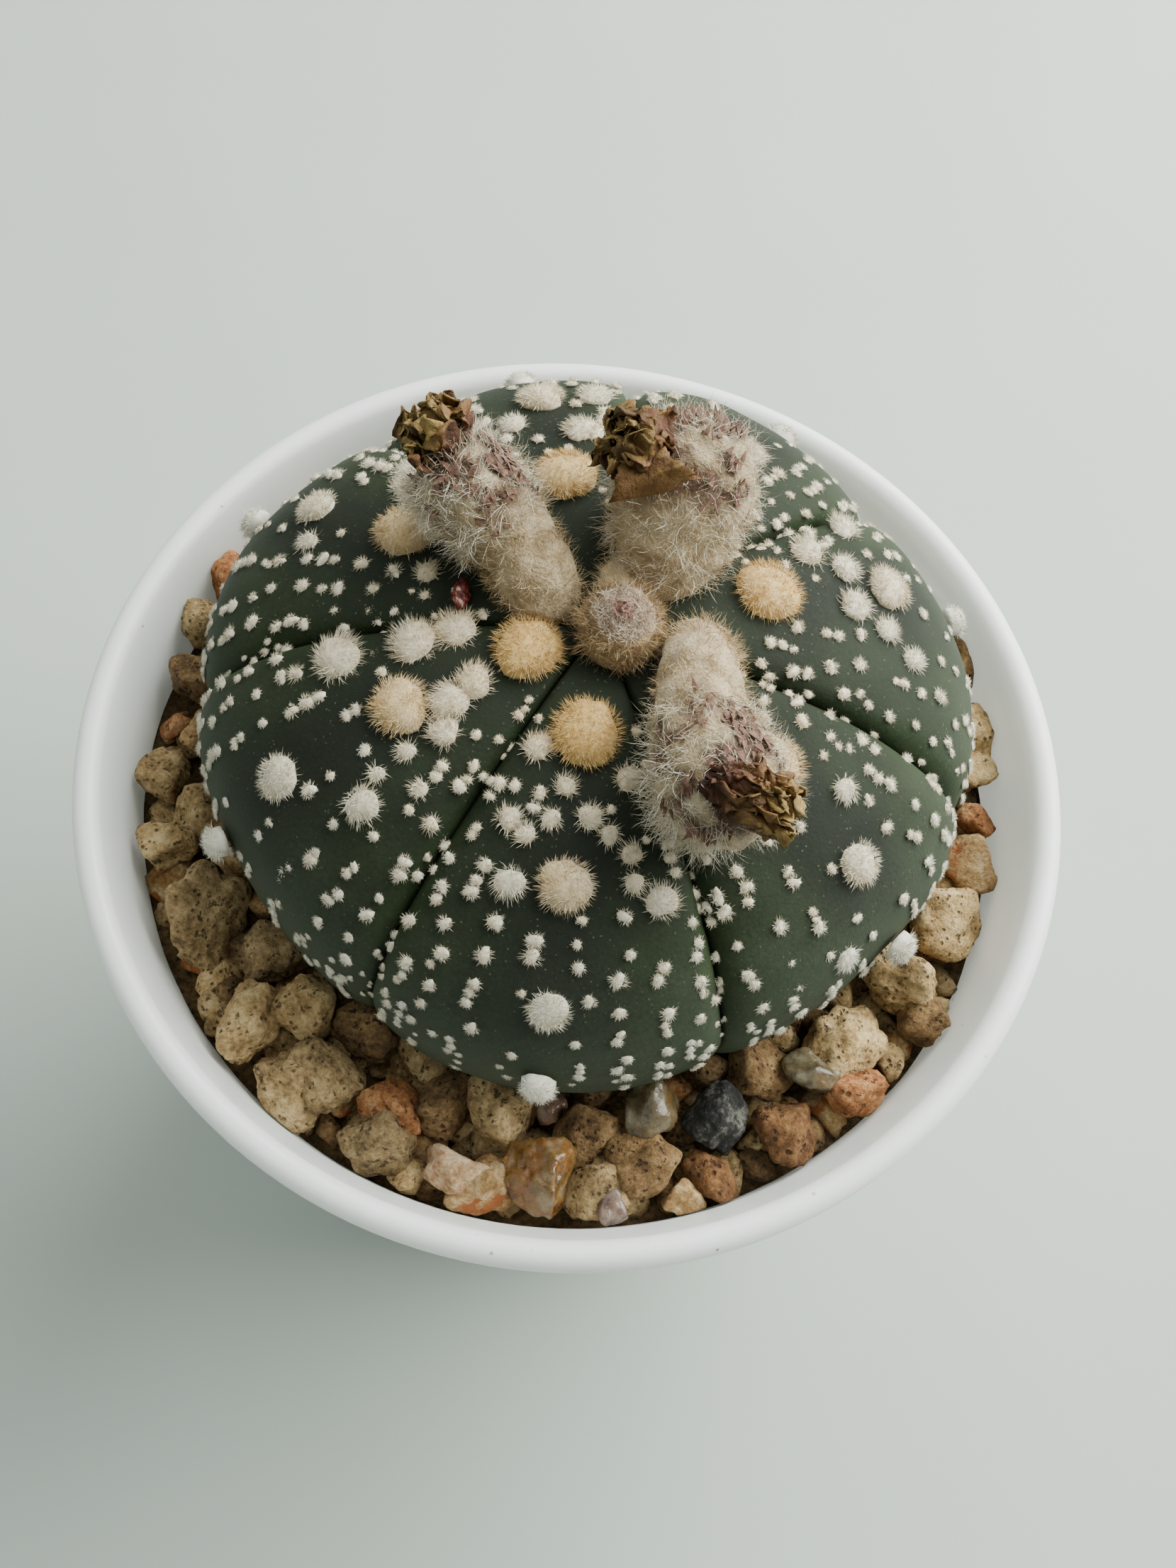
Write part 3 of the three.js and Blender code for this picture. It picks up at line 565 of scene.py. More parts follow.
def pot_profile():
    """Radius and height along the pot's section: its underside, outside, rim, inside and floor."""
    lip = POT_TOP - LIP_HEIGHT
    roll = RIM_ROLL / 2
    arc = np.linspace(1 / 12, 1, 12) * math.pi
    over = list(zip(RIM_RADIUS - roll + roll * np.cos(arc), POT_TOP - roll + roll * np.sin(arc)))
    heights = np.linspace(lip - 1.5 * MM, FLOOR_THICKNESS + 2 * MM, 14)
    inside = [(wall_radius(h) - WALL, h) for h in heights]
    corner = [(wall_radius(FLOOR_THICKNESS) - WALL - 1.2 * MM, FLOOR_THICKNESS + 0.3 * MM)]
    floor = [(r * MM, FLOOR_THICKNESS) for r in (33, 28, 18, 8, 0.01)]
    under = [(r * MM, 0) for r in (0.01, 8, 18, 28, 33)]
    foot = [(FOOT_RADIUS - 1.6 * MM, 0), (FOOT_RADIUS - 0.5 * MM, 0.2 * MM), (FOOT_RADIUS, 0.9 * MM)]
    outside = [(wall_radius(h), h) for h in np.linspace(2.5 * MM, lip - 0.6 * MM, 14)]
    under_lip = [(RIM_RADIUS - LIP_OVERHANG + 0.35 * MM, lip), (RIM_RADIUS - 0.9 * MM, lip + 0.02 * MM),
                 (RIM_RADIUS - 0.25 * MM, lip + 0.35 * MM), (RIM_RADIUS, lip + 0.95 * MM)]
    return np.array(under + foot + outside + under_lip + over + inside + corner + floor)


def drill(body, place):
    """Cut one drain hole."""
    bpy.ops.mesh.primitive_cylinder_add(
        vertices=40, radius=DRAIN_RADIUS, depth=4 * FLOOR_THICKNESS, location=place)
    cutter = bpy.context.object
    cut = body.modifiers.new("hole", "BOOLEAN")
    cut.operation = "DIFFERENCE"
    cut.object = cutter
    cut.solver = "EXACT"
    bpy.context.view_layer.objects.active = body
    bpy.ops.object.modifier_apply(modifier=cut.name)
    bpy.data.objects.remove(cutter)


def make_pot():
    profile = pot_profile()
    points = turned(profile, POT_TURNS).reshape(-1, 3)
    body = mesh_object("pot_shell", points, grid_faces(len(profile), POT_TURNS), pot_material())
    shell = bmesh.new()
    shell.from_mesh(body.data)
    bmesh.ops.remove_doubles(shell, verts=shell.verts, dist=0.05 * MM)
    bmesh.ops.recalc_face_normals(shell, faces=shell.faces)
    shell.to_mesh(body.data)
    shell.free()
    for index in range(DRAIN_HOLES):
        turn = 2 * math.pi * index / DRAIN_HOLES
        drill(body, (DRAIN_CIRCLE * math.cos(turn), DRAIN_CIRCLE * math.sin(turn), 0))
    body.data.polygons.foreach_set("use_smooth", np.full(len(body.data.polygons), True))
    body.data.set_sharp_from_angle(angle=math.radians(50))
    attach(body, "root")
    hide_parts("pot")


# Cactus body

def across_rib(angles):
    """The place across its rib of each angle in degrees: -1 and 1 are grooves, 0 the crest."""
    turn = (angles - GROOVE_ANGLES[0]) % 360 + GROOVE_ANGLES[0]
    rib = np.clip(np.searchsorted(GROOVE_ANGLES, turn, side="right") - 1, 0, RIBS - 1)
    low, high, crest = GROOVE_ANGLES[rib], GROOVE_ANGLES[rib + 1], CREST_ANGLES[rib]
    return np.where(turn < crest, (turn - crest) / (crest - low), (turn - crest) / (high - crest))


def rib_angle(rib, across):
    """The angle at a place across a rib."""
    low, high, crest = GROOVE_ANGLES[rib], GROOVE_ANGLES[rib + 1], CREST_ANGLES[rib]
    return crest + across * np.where(across < 0, crest - low, high - crest)


def crest_line(step):
    """Radius and height of the crest: steps 0 to 1 run from crown to widest line, 1 to 2 below it."""
    turn = np.clip(step, 0, 1) * math.pi / 2
    radius = PLANT_RADIUS * np.sin(turn) ** (2 / DOME_POWER)
    dip = CROWN_DIP * np.exp(-(radius / CROWN_DIP_RADIUS) ** 2)
    height = WIDEST_HEIGHT + DOME_RISE * np.cos(turn).clip(0) ** (2 / DOME_POWER) - dip
    under = np.clip(step - 1, 0, 1) * math.pi / 2
    low_radius = ROOT_RADIUS + (PLANT_RADIUS - ROOT_RADIUS) * np.cos(under).clip(0) ** UNDERSIDE_POWER
    low_height = WIDEST_HEIGHT - UNDERSIDE_DROP * np.sin(under)
    return np.where(step <= 1, radius, low_radius), np.where(step <= 1, height, low_height)


def skin_at(angles, steps):
    """Points on the skin and outward directions, for angles in degrees and steps on the crest line."""
    turn = np.radians(angles)
    across = across_rib(angles)
    radius, height = crest_line(steps)
    before, above = crest_line(np.maximum(steps - STEP_NUDGE, 0))
    after, below = crest_line(np.minimum(steps + STEP_NUDGE, 2 - STEP_NUDGE))
    outward = unit(np.stack([above - below, after - before], axis=-1))
    fade = np.where(steps < 1, GROOVE_AT_CROWN + (1 - GROOVE_AT_CROWN) * steps, 2 - steps)
    filled = 1 - MARGIN_FILL * np.clip((steps - MARGIN_FILL_FROM) / (1 - MARGIN_FILL_FROM), 0, 1) ** 2
    notch = RIB_ROUNDING * across ** 2 + (1 - RIB_ROUNDING) * across ** NOTCH_POWER
    sink = GROOVE_DEPTH * fade * filled * notch * np.minimum(1, radius / CROWN_FADE_RADIUS)
    crease_fade = np.where(steps < 1, CREASE_AT_CROWN + (1 - CREASE_AT_CROWN) * steps, 2 - steps)
    crease_fade = crease_fade * filled * np.minimum(1, radius / CREASE_FADE_RADIUS)
    sink = sink + CREASE_DEPTH * crease_fade * np.exp((np.abs(across) - 1) / CREASE_SHARE)
    stretch = 1 + (FOUR_LOBE * np.cos(4 * turn) + TWO_LOBE * np.cos(2 * turn)) / PLANT_RADIUS
    reach = radius * stretch - outward[..., 0] * sink
    east, north = np.cos(turn), np.sin(turn)
    points = [PLANT_X + reach * east, PLANT_Y + reach * north, height - outward[..., 1] * sink]
    normals = [outward[..., 0] * east, outward[..., 0] * north, outward[..., 1]]
    return np.stack(points, axis=-1), np.stack(normals, axis=-1)


def step_at_radius(radius):
    """The step on the crest line at a radius from the plant's middle."""
    return np.arcsin(np.minimum(1, radius / PLANT_RADIUS) ** (DOME_POWER / 2)) * 2 / math.pi


def make_body():
    """The skin, on a grid whose columns crowd together at the grooves."""
    shares = np.sin(np.linspace(-1, 1, RIB_COLUMNS, endpoint=False) * math.pi / 2)
    columns = np.concatenate([rib_angle(rib, shares) for rib in range(RIBS)])
    steps = np.concatenate([np.linspace(0.012, 1, ROWS_OVER), np.linspace(1.03, 1.97, ROWS_UNDER)])
    grid_steps, grid_angles = np.meshgrid(steps, columns, indexing="ij")
    points, normals = skin_at(grid_angles, grid_steps)
    flat = points.reshape(-1, 3)
    swell = rough_noise(flat / (8 * MM), 2, 5) * 0.24 * MM
    points = points + normals * swell.reshape(points.shape[:2])[..., None]
    crown = np.array([PLANT_X, PLANT_Y, points[0, :, 2].mean()])
    low = np.array([PLANT_X, PLANT_Y, points[-1, :, 2].mean() - TAPROOT_LENGTH])
    skin_points, faces = capped_grid(points, crown, low)
    body = mesh_object("star_cactus", skin_points, faces[:, ::-1], skin_material())
    across = np.abs(across_rib(grid_angles)).ravel()
    stage = grid_steps.ravel()
    wander = rough_noise(flat / (6 * MM), 2, 9) * 0.3
    crest = np.clip(1.3 - across / 0.42 + wander, 0, 1) * np.clip((stage - 0.12) / 0.15, 0, 1)
    values = {
        "crest": crest * np.clip((0.95 - stage) / 0.25, 0, 1),
        "groove": np.clip((across - 0.84) / 0.16, 0, 1),
        # crease_shade: painted shade in the narrow crease at the bottom of each groove
        "crease_shade": np.clip((across - 0.985) / 0.015, 0, 1) * np.clip((stage - 0.04) / 0.1, 0, 1),
        # margin_sheen: painted sheen, rising from mid-slope to full at the widest line
        "margin_sheen": np.clip((stage - 0.55) / 0.4, 0, 1),
        # crown_shade: painted shade, strongest at the crown and gone by mid-slope
        "crown_shade": np.clip((0.62 - stage) / 0.3, 0, 1),
    }
    for name, found in values.items():
        add_values(body, name, np.concatenate([found, [0, 0]]))
    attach(body, "root")
    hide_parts("cactus_body")


# Areoles down each crest: radius from the plant's centre and width of the felt, in mm, by rib
CREST_AREOLES = [
    [(7.3, 6.4), (19.9, 5.4), (31.9, 4.1), (37.6, 3.3)],
    [(11.2, 6.4), (24.4, 4.8), (34, 3.7), (38, 3.2)],
    [(9.5, 4.5), (20.4, 5.8), (31.5, 4), (37.2, 3.2)],
    [(16.2, 6.4), (29.2, 4.8), (36.8, 3.3)],
    [(16.4, 4.4), (26.9, 3.9), (35.6, 3.5)],
    [(16.8, 6.2), (29.4, 4.8), (36.2, 3.6)],
    [(9.8, 4.5), (20.5, 6), (30.8, 4), (37, 3.4)],
]

# Past this radius an areole is the last down its crest: a white ball just over the plant's widest line
LOWEST_AREOLE_RADIUS = 35.5
LOWEST_AREOLE_STEP = 0.93

# Extra areoles off the crests: angle round the plant, radius from its centre and width in mm
STRAY_AREOLES = [
    (72, 4.8, 5.2), (99, 29.5, 3.6), (103, 23.2, 3.4), (144, 26.5, 3), (149, 23.4, 2.8), (64, 27.2, 3.2),
    (268, 16.2, 1.9), (266, 19.2, 1.8), (261, 21.1, 1.9), (281, 20.1, 1.8), (286, 21.9, 1.9),
    (286, 24.3, 1.8), (225, 21.6, 1.8), (225, 24.8, 1.6), (234, 22.9, 1.6),
    (196, 16.8, 4.4), (193, 13, 3.9), (196, 23.6, 4.6), (218, 13.2, 3.4), (220, 16, 3.6), (227, 18, 2.9),
    (228, 27.4, 3.3), (35, 22.6, 3.5), (29, 25.4, 3), (40, 29.4, 3.3), (19, 24.5, 3.2), (14, 27.2, 2.6),
    (9, 29.6, 2.4), (261, 25.3, 2.8), (291, 26.2, 3), (256, 20.4, 2.2), (255, 13.6, 2.7), (288, 15.4, 2.4),
    (276, 18.6, 2.3), (66, 21.4, 2.6), (118, 26, 2.6), (100, 23, 2.4), (148, 25.2, 2.4), (171, 16.4, 2.2),
    (336, 26.4, 2.3), (319, 36.8, 2.4), (168, 29, 2.2),
]


def tuft_pad(point, normal, width, height, sides, rows, rng, stretch=1.0, lobes=0.07):
    """A low uneven cushion on the skin."""
    side, over = across_axes(normal[None])
    turn = np.linspace(0.1, 1.0, rows)[:, None] * 1.75
    angle = np.arange(sides)[None] * 2 * math.pi / sides
    two = np.sin(angle * 2 + rng.uniform(0, 6))
    three = np.sin(angle * 3 + rng.uniform(0, 6))
    uneven = 1 + lobes * two + lobes * 0.6 * three
    uneven = uneven + rng.uniform(-0.06, 0.06, (1, sides))
    spread = np.sin(np.minimum(turn, math.pi / 2)) ** 0.85 * width / 2 * uneven
    rise = np.cos(turn) * height
    start = rng.uniform(0, math.pi)
    long = side[0] * math.cos(start) + over[0] * math.sin(start)
    short = np.cross(normal, long)
    rings = (point + long * (spread * stretch * np.cos(angle))[..., None]
             + short * (spread / stretch * np.sin(angle))[..., None] + normal * rise[..., None])
    return capped_grid(rings, point + normal * height, point - normal * height * 0.4)


def tuft_strands(point, normal, width, height, count, length, rng, swirl, segments=2, comb=0.0):
    """Short hairs over a cushion: nearly flat and swirling in its middle, spread out at its edge."""
    side, over = across_axes(normal[None])
    spread = np.sqrt(rng.uniform(0.01, 1, count))
    around = rng.uniform(0, 2 * math.pi, count)
    outward = side * np.cos(around)[:, None] + over * np.sin(around)[:, None]
    tangent = np.cross(normal[None], outward)
    lift = np.sqrt(np.maximum(0, 1 - (spread * 0.97) ** 2))
    roots = point + outward * (spread * width * 0.47)[:, None] + normal * (lift * height * 0.94)[:, None]
    edge = spread[:, None] ** 3
    combed = side * math.cos(swirl * 9) + over * math.sin(swirl * 9)
    flat = outward * (0.3 + 1.5 * edge) + tangent * swirl * (1 - 0.6 * edge) + combed * comb
    lean = unit(flat + normal * (0.5 - 0.35 * edge) + rng.normal(0, 0.42, (count, 3)))
    lengths = length * rng.uniform(0.4, 1.2, count) * (1 + 0.35 * edge[:, 0])
    widths = rng.uniform(*FELT_HAIR, count) * MM
    return strands(roots, lean, lengths, widths, 0.6, segments, rng)


def areole_places():
    """Angle, step, width, warmth and whether it stands on a crest, for each areole."""
    places = []
    for rib, row in enumerate(CREST_AREOLES):
        for radius, width in row:
            lowest = radius > LOWEST_AREOLE_RADIUS
            step = LOWEST_AREOLE_STEP if lowest else float(step_at_radius(np.array(radius * MM)))
            warmth = 0.05 if lowest else 1 - max(0, radius - 14) / 24
            places.append((float(CREST_ANGLES[rib]), step, width * MM, warmth, True))
    for angle, radius, width in STRAY_AREOLES:
        step = float(step_at_radius(np.array(radius * MM)))
        places.append((float(angle), step, width * MM, 0.62 - radius / 70, False))
    return places


def skin_spot(angle, step):
    """One point on the skin and its outward direction."""
    points, normals = skin_at(np.array([float(angle)]), np.array([float(step)]))
    return points[0], normals[0]


def felt_pieces(names, felt, pads, pad_tone, fuzz, segments, warmths, rng):
    """The cushions of many tufts as one piece and their hairs as another, with each tuft's warmth."""
    base = mesh_object(names[0], *merged(pads), felt)
    add_values(base, "tone", np.full(len(base.data.vertices), pad_tone))
    add_values(base, "warmth", np.repeat(warmths, len(pads[0][0])))
    fur = hair_object(names[1], fuzz, segments, felt, rng, warmth=warmths)
    for piece in (base, fur):
        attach(piece, "root")


def make_areoles(felt):
    rng = np.random.default_rng(AREOLE_SEED)
    pads, fuzz, warmths = [], [], []
    for angle, step, width, warmth, neat in areole_places():
        point, normal = skin_spot(angle, step)
        ball = neat and step >= LOWEST_AREOLE_STEP
        height = width * (0.5 if ball else 0.25)
        if ball:
            point = point + normal * 0.24 * width
        pads.append(tuft_pad(point, normal, width * 0.92, height, 22, 9, rng))
        count = int((900 if neat else 680) * (width / (4 * MM)) ** 1.6)
        length = (0.46 + 0.06 * width / MM) * MM * (0.85 if neat else 1.15)
        swirl = rng.uniform(-0.8, 0.8)
        comb = 0 if neat else 0.7
        fuzz.append(tuft_strands(point, normal, width, height, count, length, rng, swirl, comb=comb))
        warmths.append(warmth)
    felt_pieces(("areole_pads", "areole_felt"), felt, pads, 0.35, fuzz, 2, warmths, rng)


# Columns of wool flecks down both flanks of each rib: place across, first and last step and share kept
FLECK_COLUMNS = [(0.15, 0.3, 0.95, 0.45), (0.42, 0.24, 1.0, 1.0), (0.66, 0.2, 1.0, 1.0),
                 (0.86, 0.14, 1.0, 1.0), (0.975, 0.2, 1.0, 0.5)]

# Places across each rib of the short chains of flecks along the margin
MARGIN_ROW = np.linspace(-0.78, 0.78, 9)

# Widths of the flecks, in mm
FLECK_WIDTH = (1.0, 1.8)
MARGIN_FLECK_WIDTH = (0.85, 1.3)

# Shares of flecks that stand alone, in twos and in threes
GROUP_SHARES = [0.5, 0.32, 0.18]


def clear_of(others, point, reach):
    """Whether a point keeps its reach from all others, given as points and the room each takes."""
    return all(np.linalg.norm(point - other) > room + reach for other, room in others)


def crest_lengths():
    """Steps down the crest line and the length of the line up to each."""
    steps = np.linspace(0, 1.12, 400)
    radius, height = crest_line(steps)
    lengths = np.concatenate([[0], np.cumsum(np.hypot(np.diff(radius), np.diff(height)))])
    return steps, lengths


def fleck_places(rng):
    """Flecks in small groups down each column, kept clear of the areoles."""
    steps, lengths = crest_lengths()
    areoles = [(skin_spot(angle, step)[0], width / 2) for angle, step, width, _, _ in areole_places()]
    found = []
    for rib in range(RIBS):
        for flank in (-1, 1):
            for across, first, last, share in FLECK_COLUMNS:
                at = np.interp(first, steps, lengths) + rng.uniform(0, 3) * MM
                end = np.interp(last + 0.04, steps, lengths)
                while at < end:
                    drift = rng.normal(0, 0.022)
                    for _ in range(rng.choice([1, 2, 3], p=GROUP_SHARES)):
                        step = float(np.interp(at, lengths, steps))
                        shrink = 1.04 - 0.5 * abs(step - 0.5) - 0.18 * (across > 0.95)
                        size = rng.uniform(*FLECK_WIDTH) * MM * shrink
                        place = np.clip(across + drift + rng.normal(0, 0.014), 0.05, 0.985)
                        point, normal = skin_spot(rib_angle(rib, np.array(flank * place)), step)
                        if clear_of(areoles, point, size * 0.65) and rng.uniform() < share:
                            found.append((point, normal, size, 0.4 - 0.32 * step))
                        at += size * rng.uniform(0.72, 1.0)
                    at += rng.uniform(0.6, 1.5) * (2.4 - 1.3 * step) * MM
    for rib in range(RIBS):
        for across in MARGIN_ROW:
            at = np.interp(rng.uniform(0.84, 0.94), steps, lengths)
            place = across + rng.normal(0, 0.02)
            for _ in range(rng.integers(2, 5)):
                step = float(np.interp(at, lengths, steps))
                size = rng.uniform(*MARGIN_FLECK_WIDTH) * MM
                point, normal = skin_spot(rib_angle(rib, np.array(place)), step)
                others = [(other[0], other[2] * 0.42) for other in found]
                if clear_of(areoles, point, size * 0.8) and clear_of(others, point, size * 0.42):
                    found.append((point, normal, size, 0.05))
                at += size * rng.uniform(0.85, 1.1)
    return found


def make_flecks(felt):
    rng = np.random.default_rng(FLECK_SEED)
    mounds, fuzz, warmths = [], [], []
    for point, normal, size, warmth in fleck_places(rng):
        stretch = rng.uniform(1.0, 1.3)
        mounds.append(tuft_pad(point, normal, size * 0.74, size * 0.22, 9, 4, rng, stretch, 0.16))
        count, length = int(70 + 70 * size / MM), size * rng.uniform(0.16, 0.28)
        swirl = rng.uniform(-0.8, 0.8)
        fuzz.append(tuft_strands(point, normal, size * 0.82, size * 0.22, count, length, rng, swirl, 1))
        warmths.append(warmth)
    felt_pieces(("wool_fleck_mounds", "wool_flecks"), felt, mounds, 0.75, fuzz, 1, warmths, rng)


# Flowers

LIMB_STEPS = 60
CORE_SIDES = 32
CORE_SHARE = 0.96


class Limb:
    """A round limb through stations of centre over the rim and radius, in mm, smooth between them."""

    def __init__(self, stations):
        data = np.array(stations) * MM
        data[:, 2] += POT_TOP
        fine = np.linspace(0, len(data) - 1, LIMB_STEPS)
        self.data = np.stack([self.smooth(data[:, k], fine) for k in range(4)], axis=-1)
        centres = self.data[:, :3]
        self.ways = unit(np.gradient(centres, axis=0))
        side = across_axes(self.ways[:1])[0][0]
        sides = []
        for way in self.ways:
            side = side - way * np.dot(side, way)
            side = side / np.linalg.norm(side)
            sides.append(side)
        self.sides = np.array(sides)
        self.overs = np.cross(self.sides, self.ways)

    @staticmethod
    def smooth(values, at):
        """Catmull-Rom interpolation."""
        low = np.clip(np.floor(at).astype(int), 0, len(values) - 2)
        part = at - low
        a, b, c, d = (values[np.clip(low + k, 0, len(values) - 1)] for k in (-1, 0, 1, 2))
        bend = 2 * a - 5 * b + 4 * c - d + part * (3 * (b - c) + d - a)
        return b + 0.5 * part * (c - a + part * bend)

    def at(self, along, around, out):
        """Points, outward directions and the limb's ways, at places 0 to 1 along and angles round it."""
        place = along * (len(self.data) - 1)
        low = np.clip(np.floor(place).astype(int), 0, len(self.data) - 2)
        part = (place - low)[:, None]
        data = self.data[low] * (1 - part) + self.data[low + 1] * part
        outward = self.sides[low] * np.cos(around)[:, None] + self.overs[low] * np.sin(around)[:, None]
        slope = (self.data[low + 1, 3] - self.data[low, 3]) * (LIMB_STEPS - 1)
        length = np.linalg.norm(np.diff(self.data[:, :3], axis=0), axis=1).sum()
        normal = unit(outward - self.ways[low] * (slope / length)[:, None])
        return data[:, :3] + outward * data[:, 3:] * out, normal, self.ways[low]

    def skin(self, roughness, seed):
        angle = np.arange(CORE_SIDES) * 2 * math.pi / CORE_SIDES
        along = np.linspace(0, 1, LIMB_STEPS)
        rings = np.stack([self.at(np.full(CORE_SIDES, t), angle, CORE_SHARE)[0] for t in along])
        centres = self.data[:, None, :3]
        bumps = rough_noise(rings.reshape(-1, 3) / (2.2 * MM), 3, seed).reshape(rings.shape[:2])
        rings = rings + unit(rings - centres) * (bumps * roughness)[..., None]
        tip = self.data[-1, :3] + self.ways[-1] * self.data[-1, 3] * 0.4
        return capped_grid(rings, self.data[0, :3], tip)


# Withered flowers, in mm over the rim's centre: the tube's stations of place and radius, where the corolla
# starts and ends, how wide it is, where its hanging petal reaches, and from where on the tube grey wool grows
FLOWERS = [
    {
        "tube": [(-5.2, 6.6, 14.5, 2.9), (-5.6, 7, 18.5, 3.6), (-8.6, 9.6, 21.4, 3.9), (-12, 12, 23.2, 4.7),
                 (-15, 13.6, 24.6, 4.8), (-16.8, 14.6, 25.4, 3)],
        "neck": (-15.2, 14.8, 27), "end": (-18.6, 14.9, 30.6), "width": 7, "sheet": None,
        "wool_from": 0.46,
    },
    {
        "tube": [(5.2, 12.4, 14, 3.6), (5.2, 12.8, 18, 5), (5.4, 15.4, 21.4, 5.9), (5.9, 18.2, 23.2, 6.3),
                 (6.2, 21, 24, 5.4), (6.3, 23, 24.4, 3.4)],
        "neck": (3.2, 17.4, 27), "end": (-1.6, 16.1, 31), "width": 7, "sheet": (3.2, 13.2, 27.4),
        "wool_from": 0.2,
    },
    {
        "tube": [(9.4, 4.2, 14.5, 2.5), (9.6, 3.4, 18.4, 3.1), (9.7, -1, 21.6, 3.5), (10.4, -6, 22.4, 4.5),
                 (12, -10.2, 22.6, 5.6), (13.4, -13.2, 22.4, 5.2), (14.6, -15.4, 22, 3.2)],
        "neck": (11, -12.8, 27), "end": (18.6, -16, 27.8), "width": 5.6, "sheet": None,
        "wool_from": 0.46,
    },
]
BUD = [(2, 3.8, 14.5, 2.6), (2, 3.8, 17.6, 3.5), (2.1, 3.7, 20.2, 3.8), (2.2, 3.6, 22, 3.1)]

PETALS = 26
PETAL_ROWS, PETAL_COLUMNS = 26, 9
HEAD_SCALES = 130
BUD_SCALES = 26
CAP_HAIRS = 2200


def over_rim(place):
    """A place given in mm over the centre of the pot's rim, in metres."""
    return np.array(place) * MM + [0, 0, POT_TOP]


def patches(points, normals, seed):
    """Where the reddish scales show between the wool, 0 to 1: in places on the side that faces up."""
    upward = np.clip((normals[:, 2] - 0.15) / 0.3, 0, 1)
    return np.clip((rough_noise(points / (1.9 * MM), 2, seed) + 0.12) / 0.25, 0, 1) * upward


def wool_coat(limb, count, length, first, last, curl, segments, seed, rng):
    """Tangled strands over a stretch of a limb, thinner where its patches show."""
    along = rng.uniform(first, last, count)
    around = rng.uniform(0, 2 * math.pi, count)
    roots, normals, ways = limb.at(along, around, 0.97)
    keep = rng.uniform(0, 1, count) > patches(roots, normals, seed) * 0.62 * (along > 0.45)
    roots, normals, ways = roots[keep], normals[keep], ways[keep]
    lock = np.stack([smooth_noise(roots / (1.4 * MM), axis) for axis in (3, 4, 5)], axis=-1)
    lean = unit(normals * 0.42 + ways * 0.2 + lock * 1.1 + rng.normal(0, 0.45, roots.shape))
    lengths = length * rng.uniform(0.45, 1.3, len(roots))
    widths = rng.uniform(*WOOL_HAIR, len(roots)) * MM
    return strands(roots, lean, lengths, widths, curl, segments, rng)


def blade(root, way, out, length, width, curl):
    """A pointed scale: a curled leaf, thin, with two faces."""
    side = np.cross(way, out)
    points = []
    for share, half in zip((0, 0.4, 0.75), (0.5, 0.42, 0.2)):
        centre = root + way * length * share + out * curl * length * share ** 2
        points += [centre - side * width * half, centre + side * width * half]
    points = np.array(points + [root + way * length + out * curl * length])
    lower = points - out * 0.09 * MM
    faces = np.array([[0, 1, 3], [0, 3, 2], [2, 3, 5], [2, 5, 4], [4, 5, 6]])
    return np.concatenate([points, lower]), np.concatenate([faces, faces[:, ::-1] + 7])


def scale_tips(limb, count, first, last, seed, rng):
    """Small withered scales that lie along a limb where its patches show."""
    along = rng.uniform(first, last, count * 6)
    around = rng.uniform(0, 2 * math.pi, count * 6)
    roots, normals, ways = limb.at(along, around, 1.03)
    shown = np.flatnonzero(patches(roots, normals, seed) > 0.35)[:count]
    made = []
    for root, normal, way in zip(roots[shown], normals[shown], ways[shown]):
        lean = unit(way + normal * 0.08 + rng.normal(0, 0.4, 3))
        out = unit(normal - lean * np.dot(normal, lean))
        length, width = rng.uniform(0.7, 1.4) * MM, rng.uniform(0.35, 0.7) * MM
        made.append(blade(root, lean, out, length, width, -0.1))
    return merged(made)


def tip_places(limb, angle, spread, rise, fall):
    """Places over the rounded tip of a limb, and the way outward at each."""
    top, radius, way = limb.data[-1, :3], limb.data[-1, 3], limb.ways[-1]
    out = limb.sides[-1] * np.cos(angle) + limb.overs[-1] * np.sin(angle)
    return top + out * radius * spread + way * radius * (rise - fall * spread ** 2), out


def bud_scales(limb, rng):
    """Closed scales that lie inward over the top of the bud."""
    way = limb.ways[-1]
    made = []
    for index in range(BUD_SCALES):
        spread = 0.42 * math.sqrt((index + 0.5) / BUD_SCALES)
        root, out = tip_places(limb, index * GOLDEN_TURN, spread, 0.44, 0.3)
        lean = unit(way * 0.12 - out * 0.5 + rng.normal(0, 0.6, 3))
        face = unit(way - lean * np.dot(way, lean))
        length, width = rng.uniform(0.8, 1.4) * MM, rng.uniform(0.2, 0.32) * MM
        made.append(blade(root, lean, face, length, width, 0.0))
    return merged(made)


def cap_wool(limb, rng):
    """Short white hairs over the top of the bud."""
    angle = rng.uniform(0, 2 * math.pi, CAP_HAIRS)[:, None]
    spread = np.sqrt(rng.uniform(0.02, 0.8, CAP_HAIRS))[:, None]
    roots, out = tip_places(limb, angle, spread, 0.4, 0.34)
    lean = unit(limb.ways[-1] * 0.1 - out * 0.3 + rng.normal(0, 0.5, (CAP_HAIRS, 3)))
    lengths = rng.uniform(0.7, 1.6, CAP_HAIRS) * MM
    return strands(roots, lean, lengths, np.full(CAP_HAIRS, 0.045 * MM), 0.6, 3, rng)


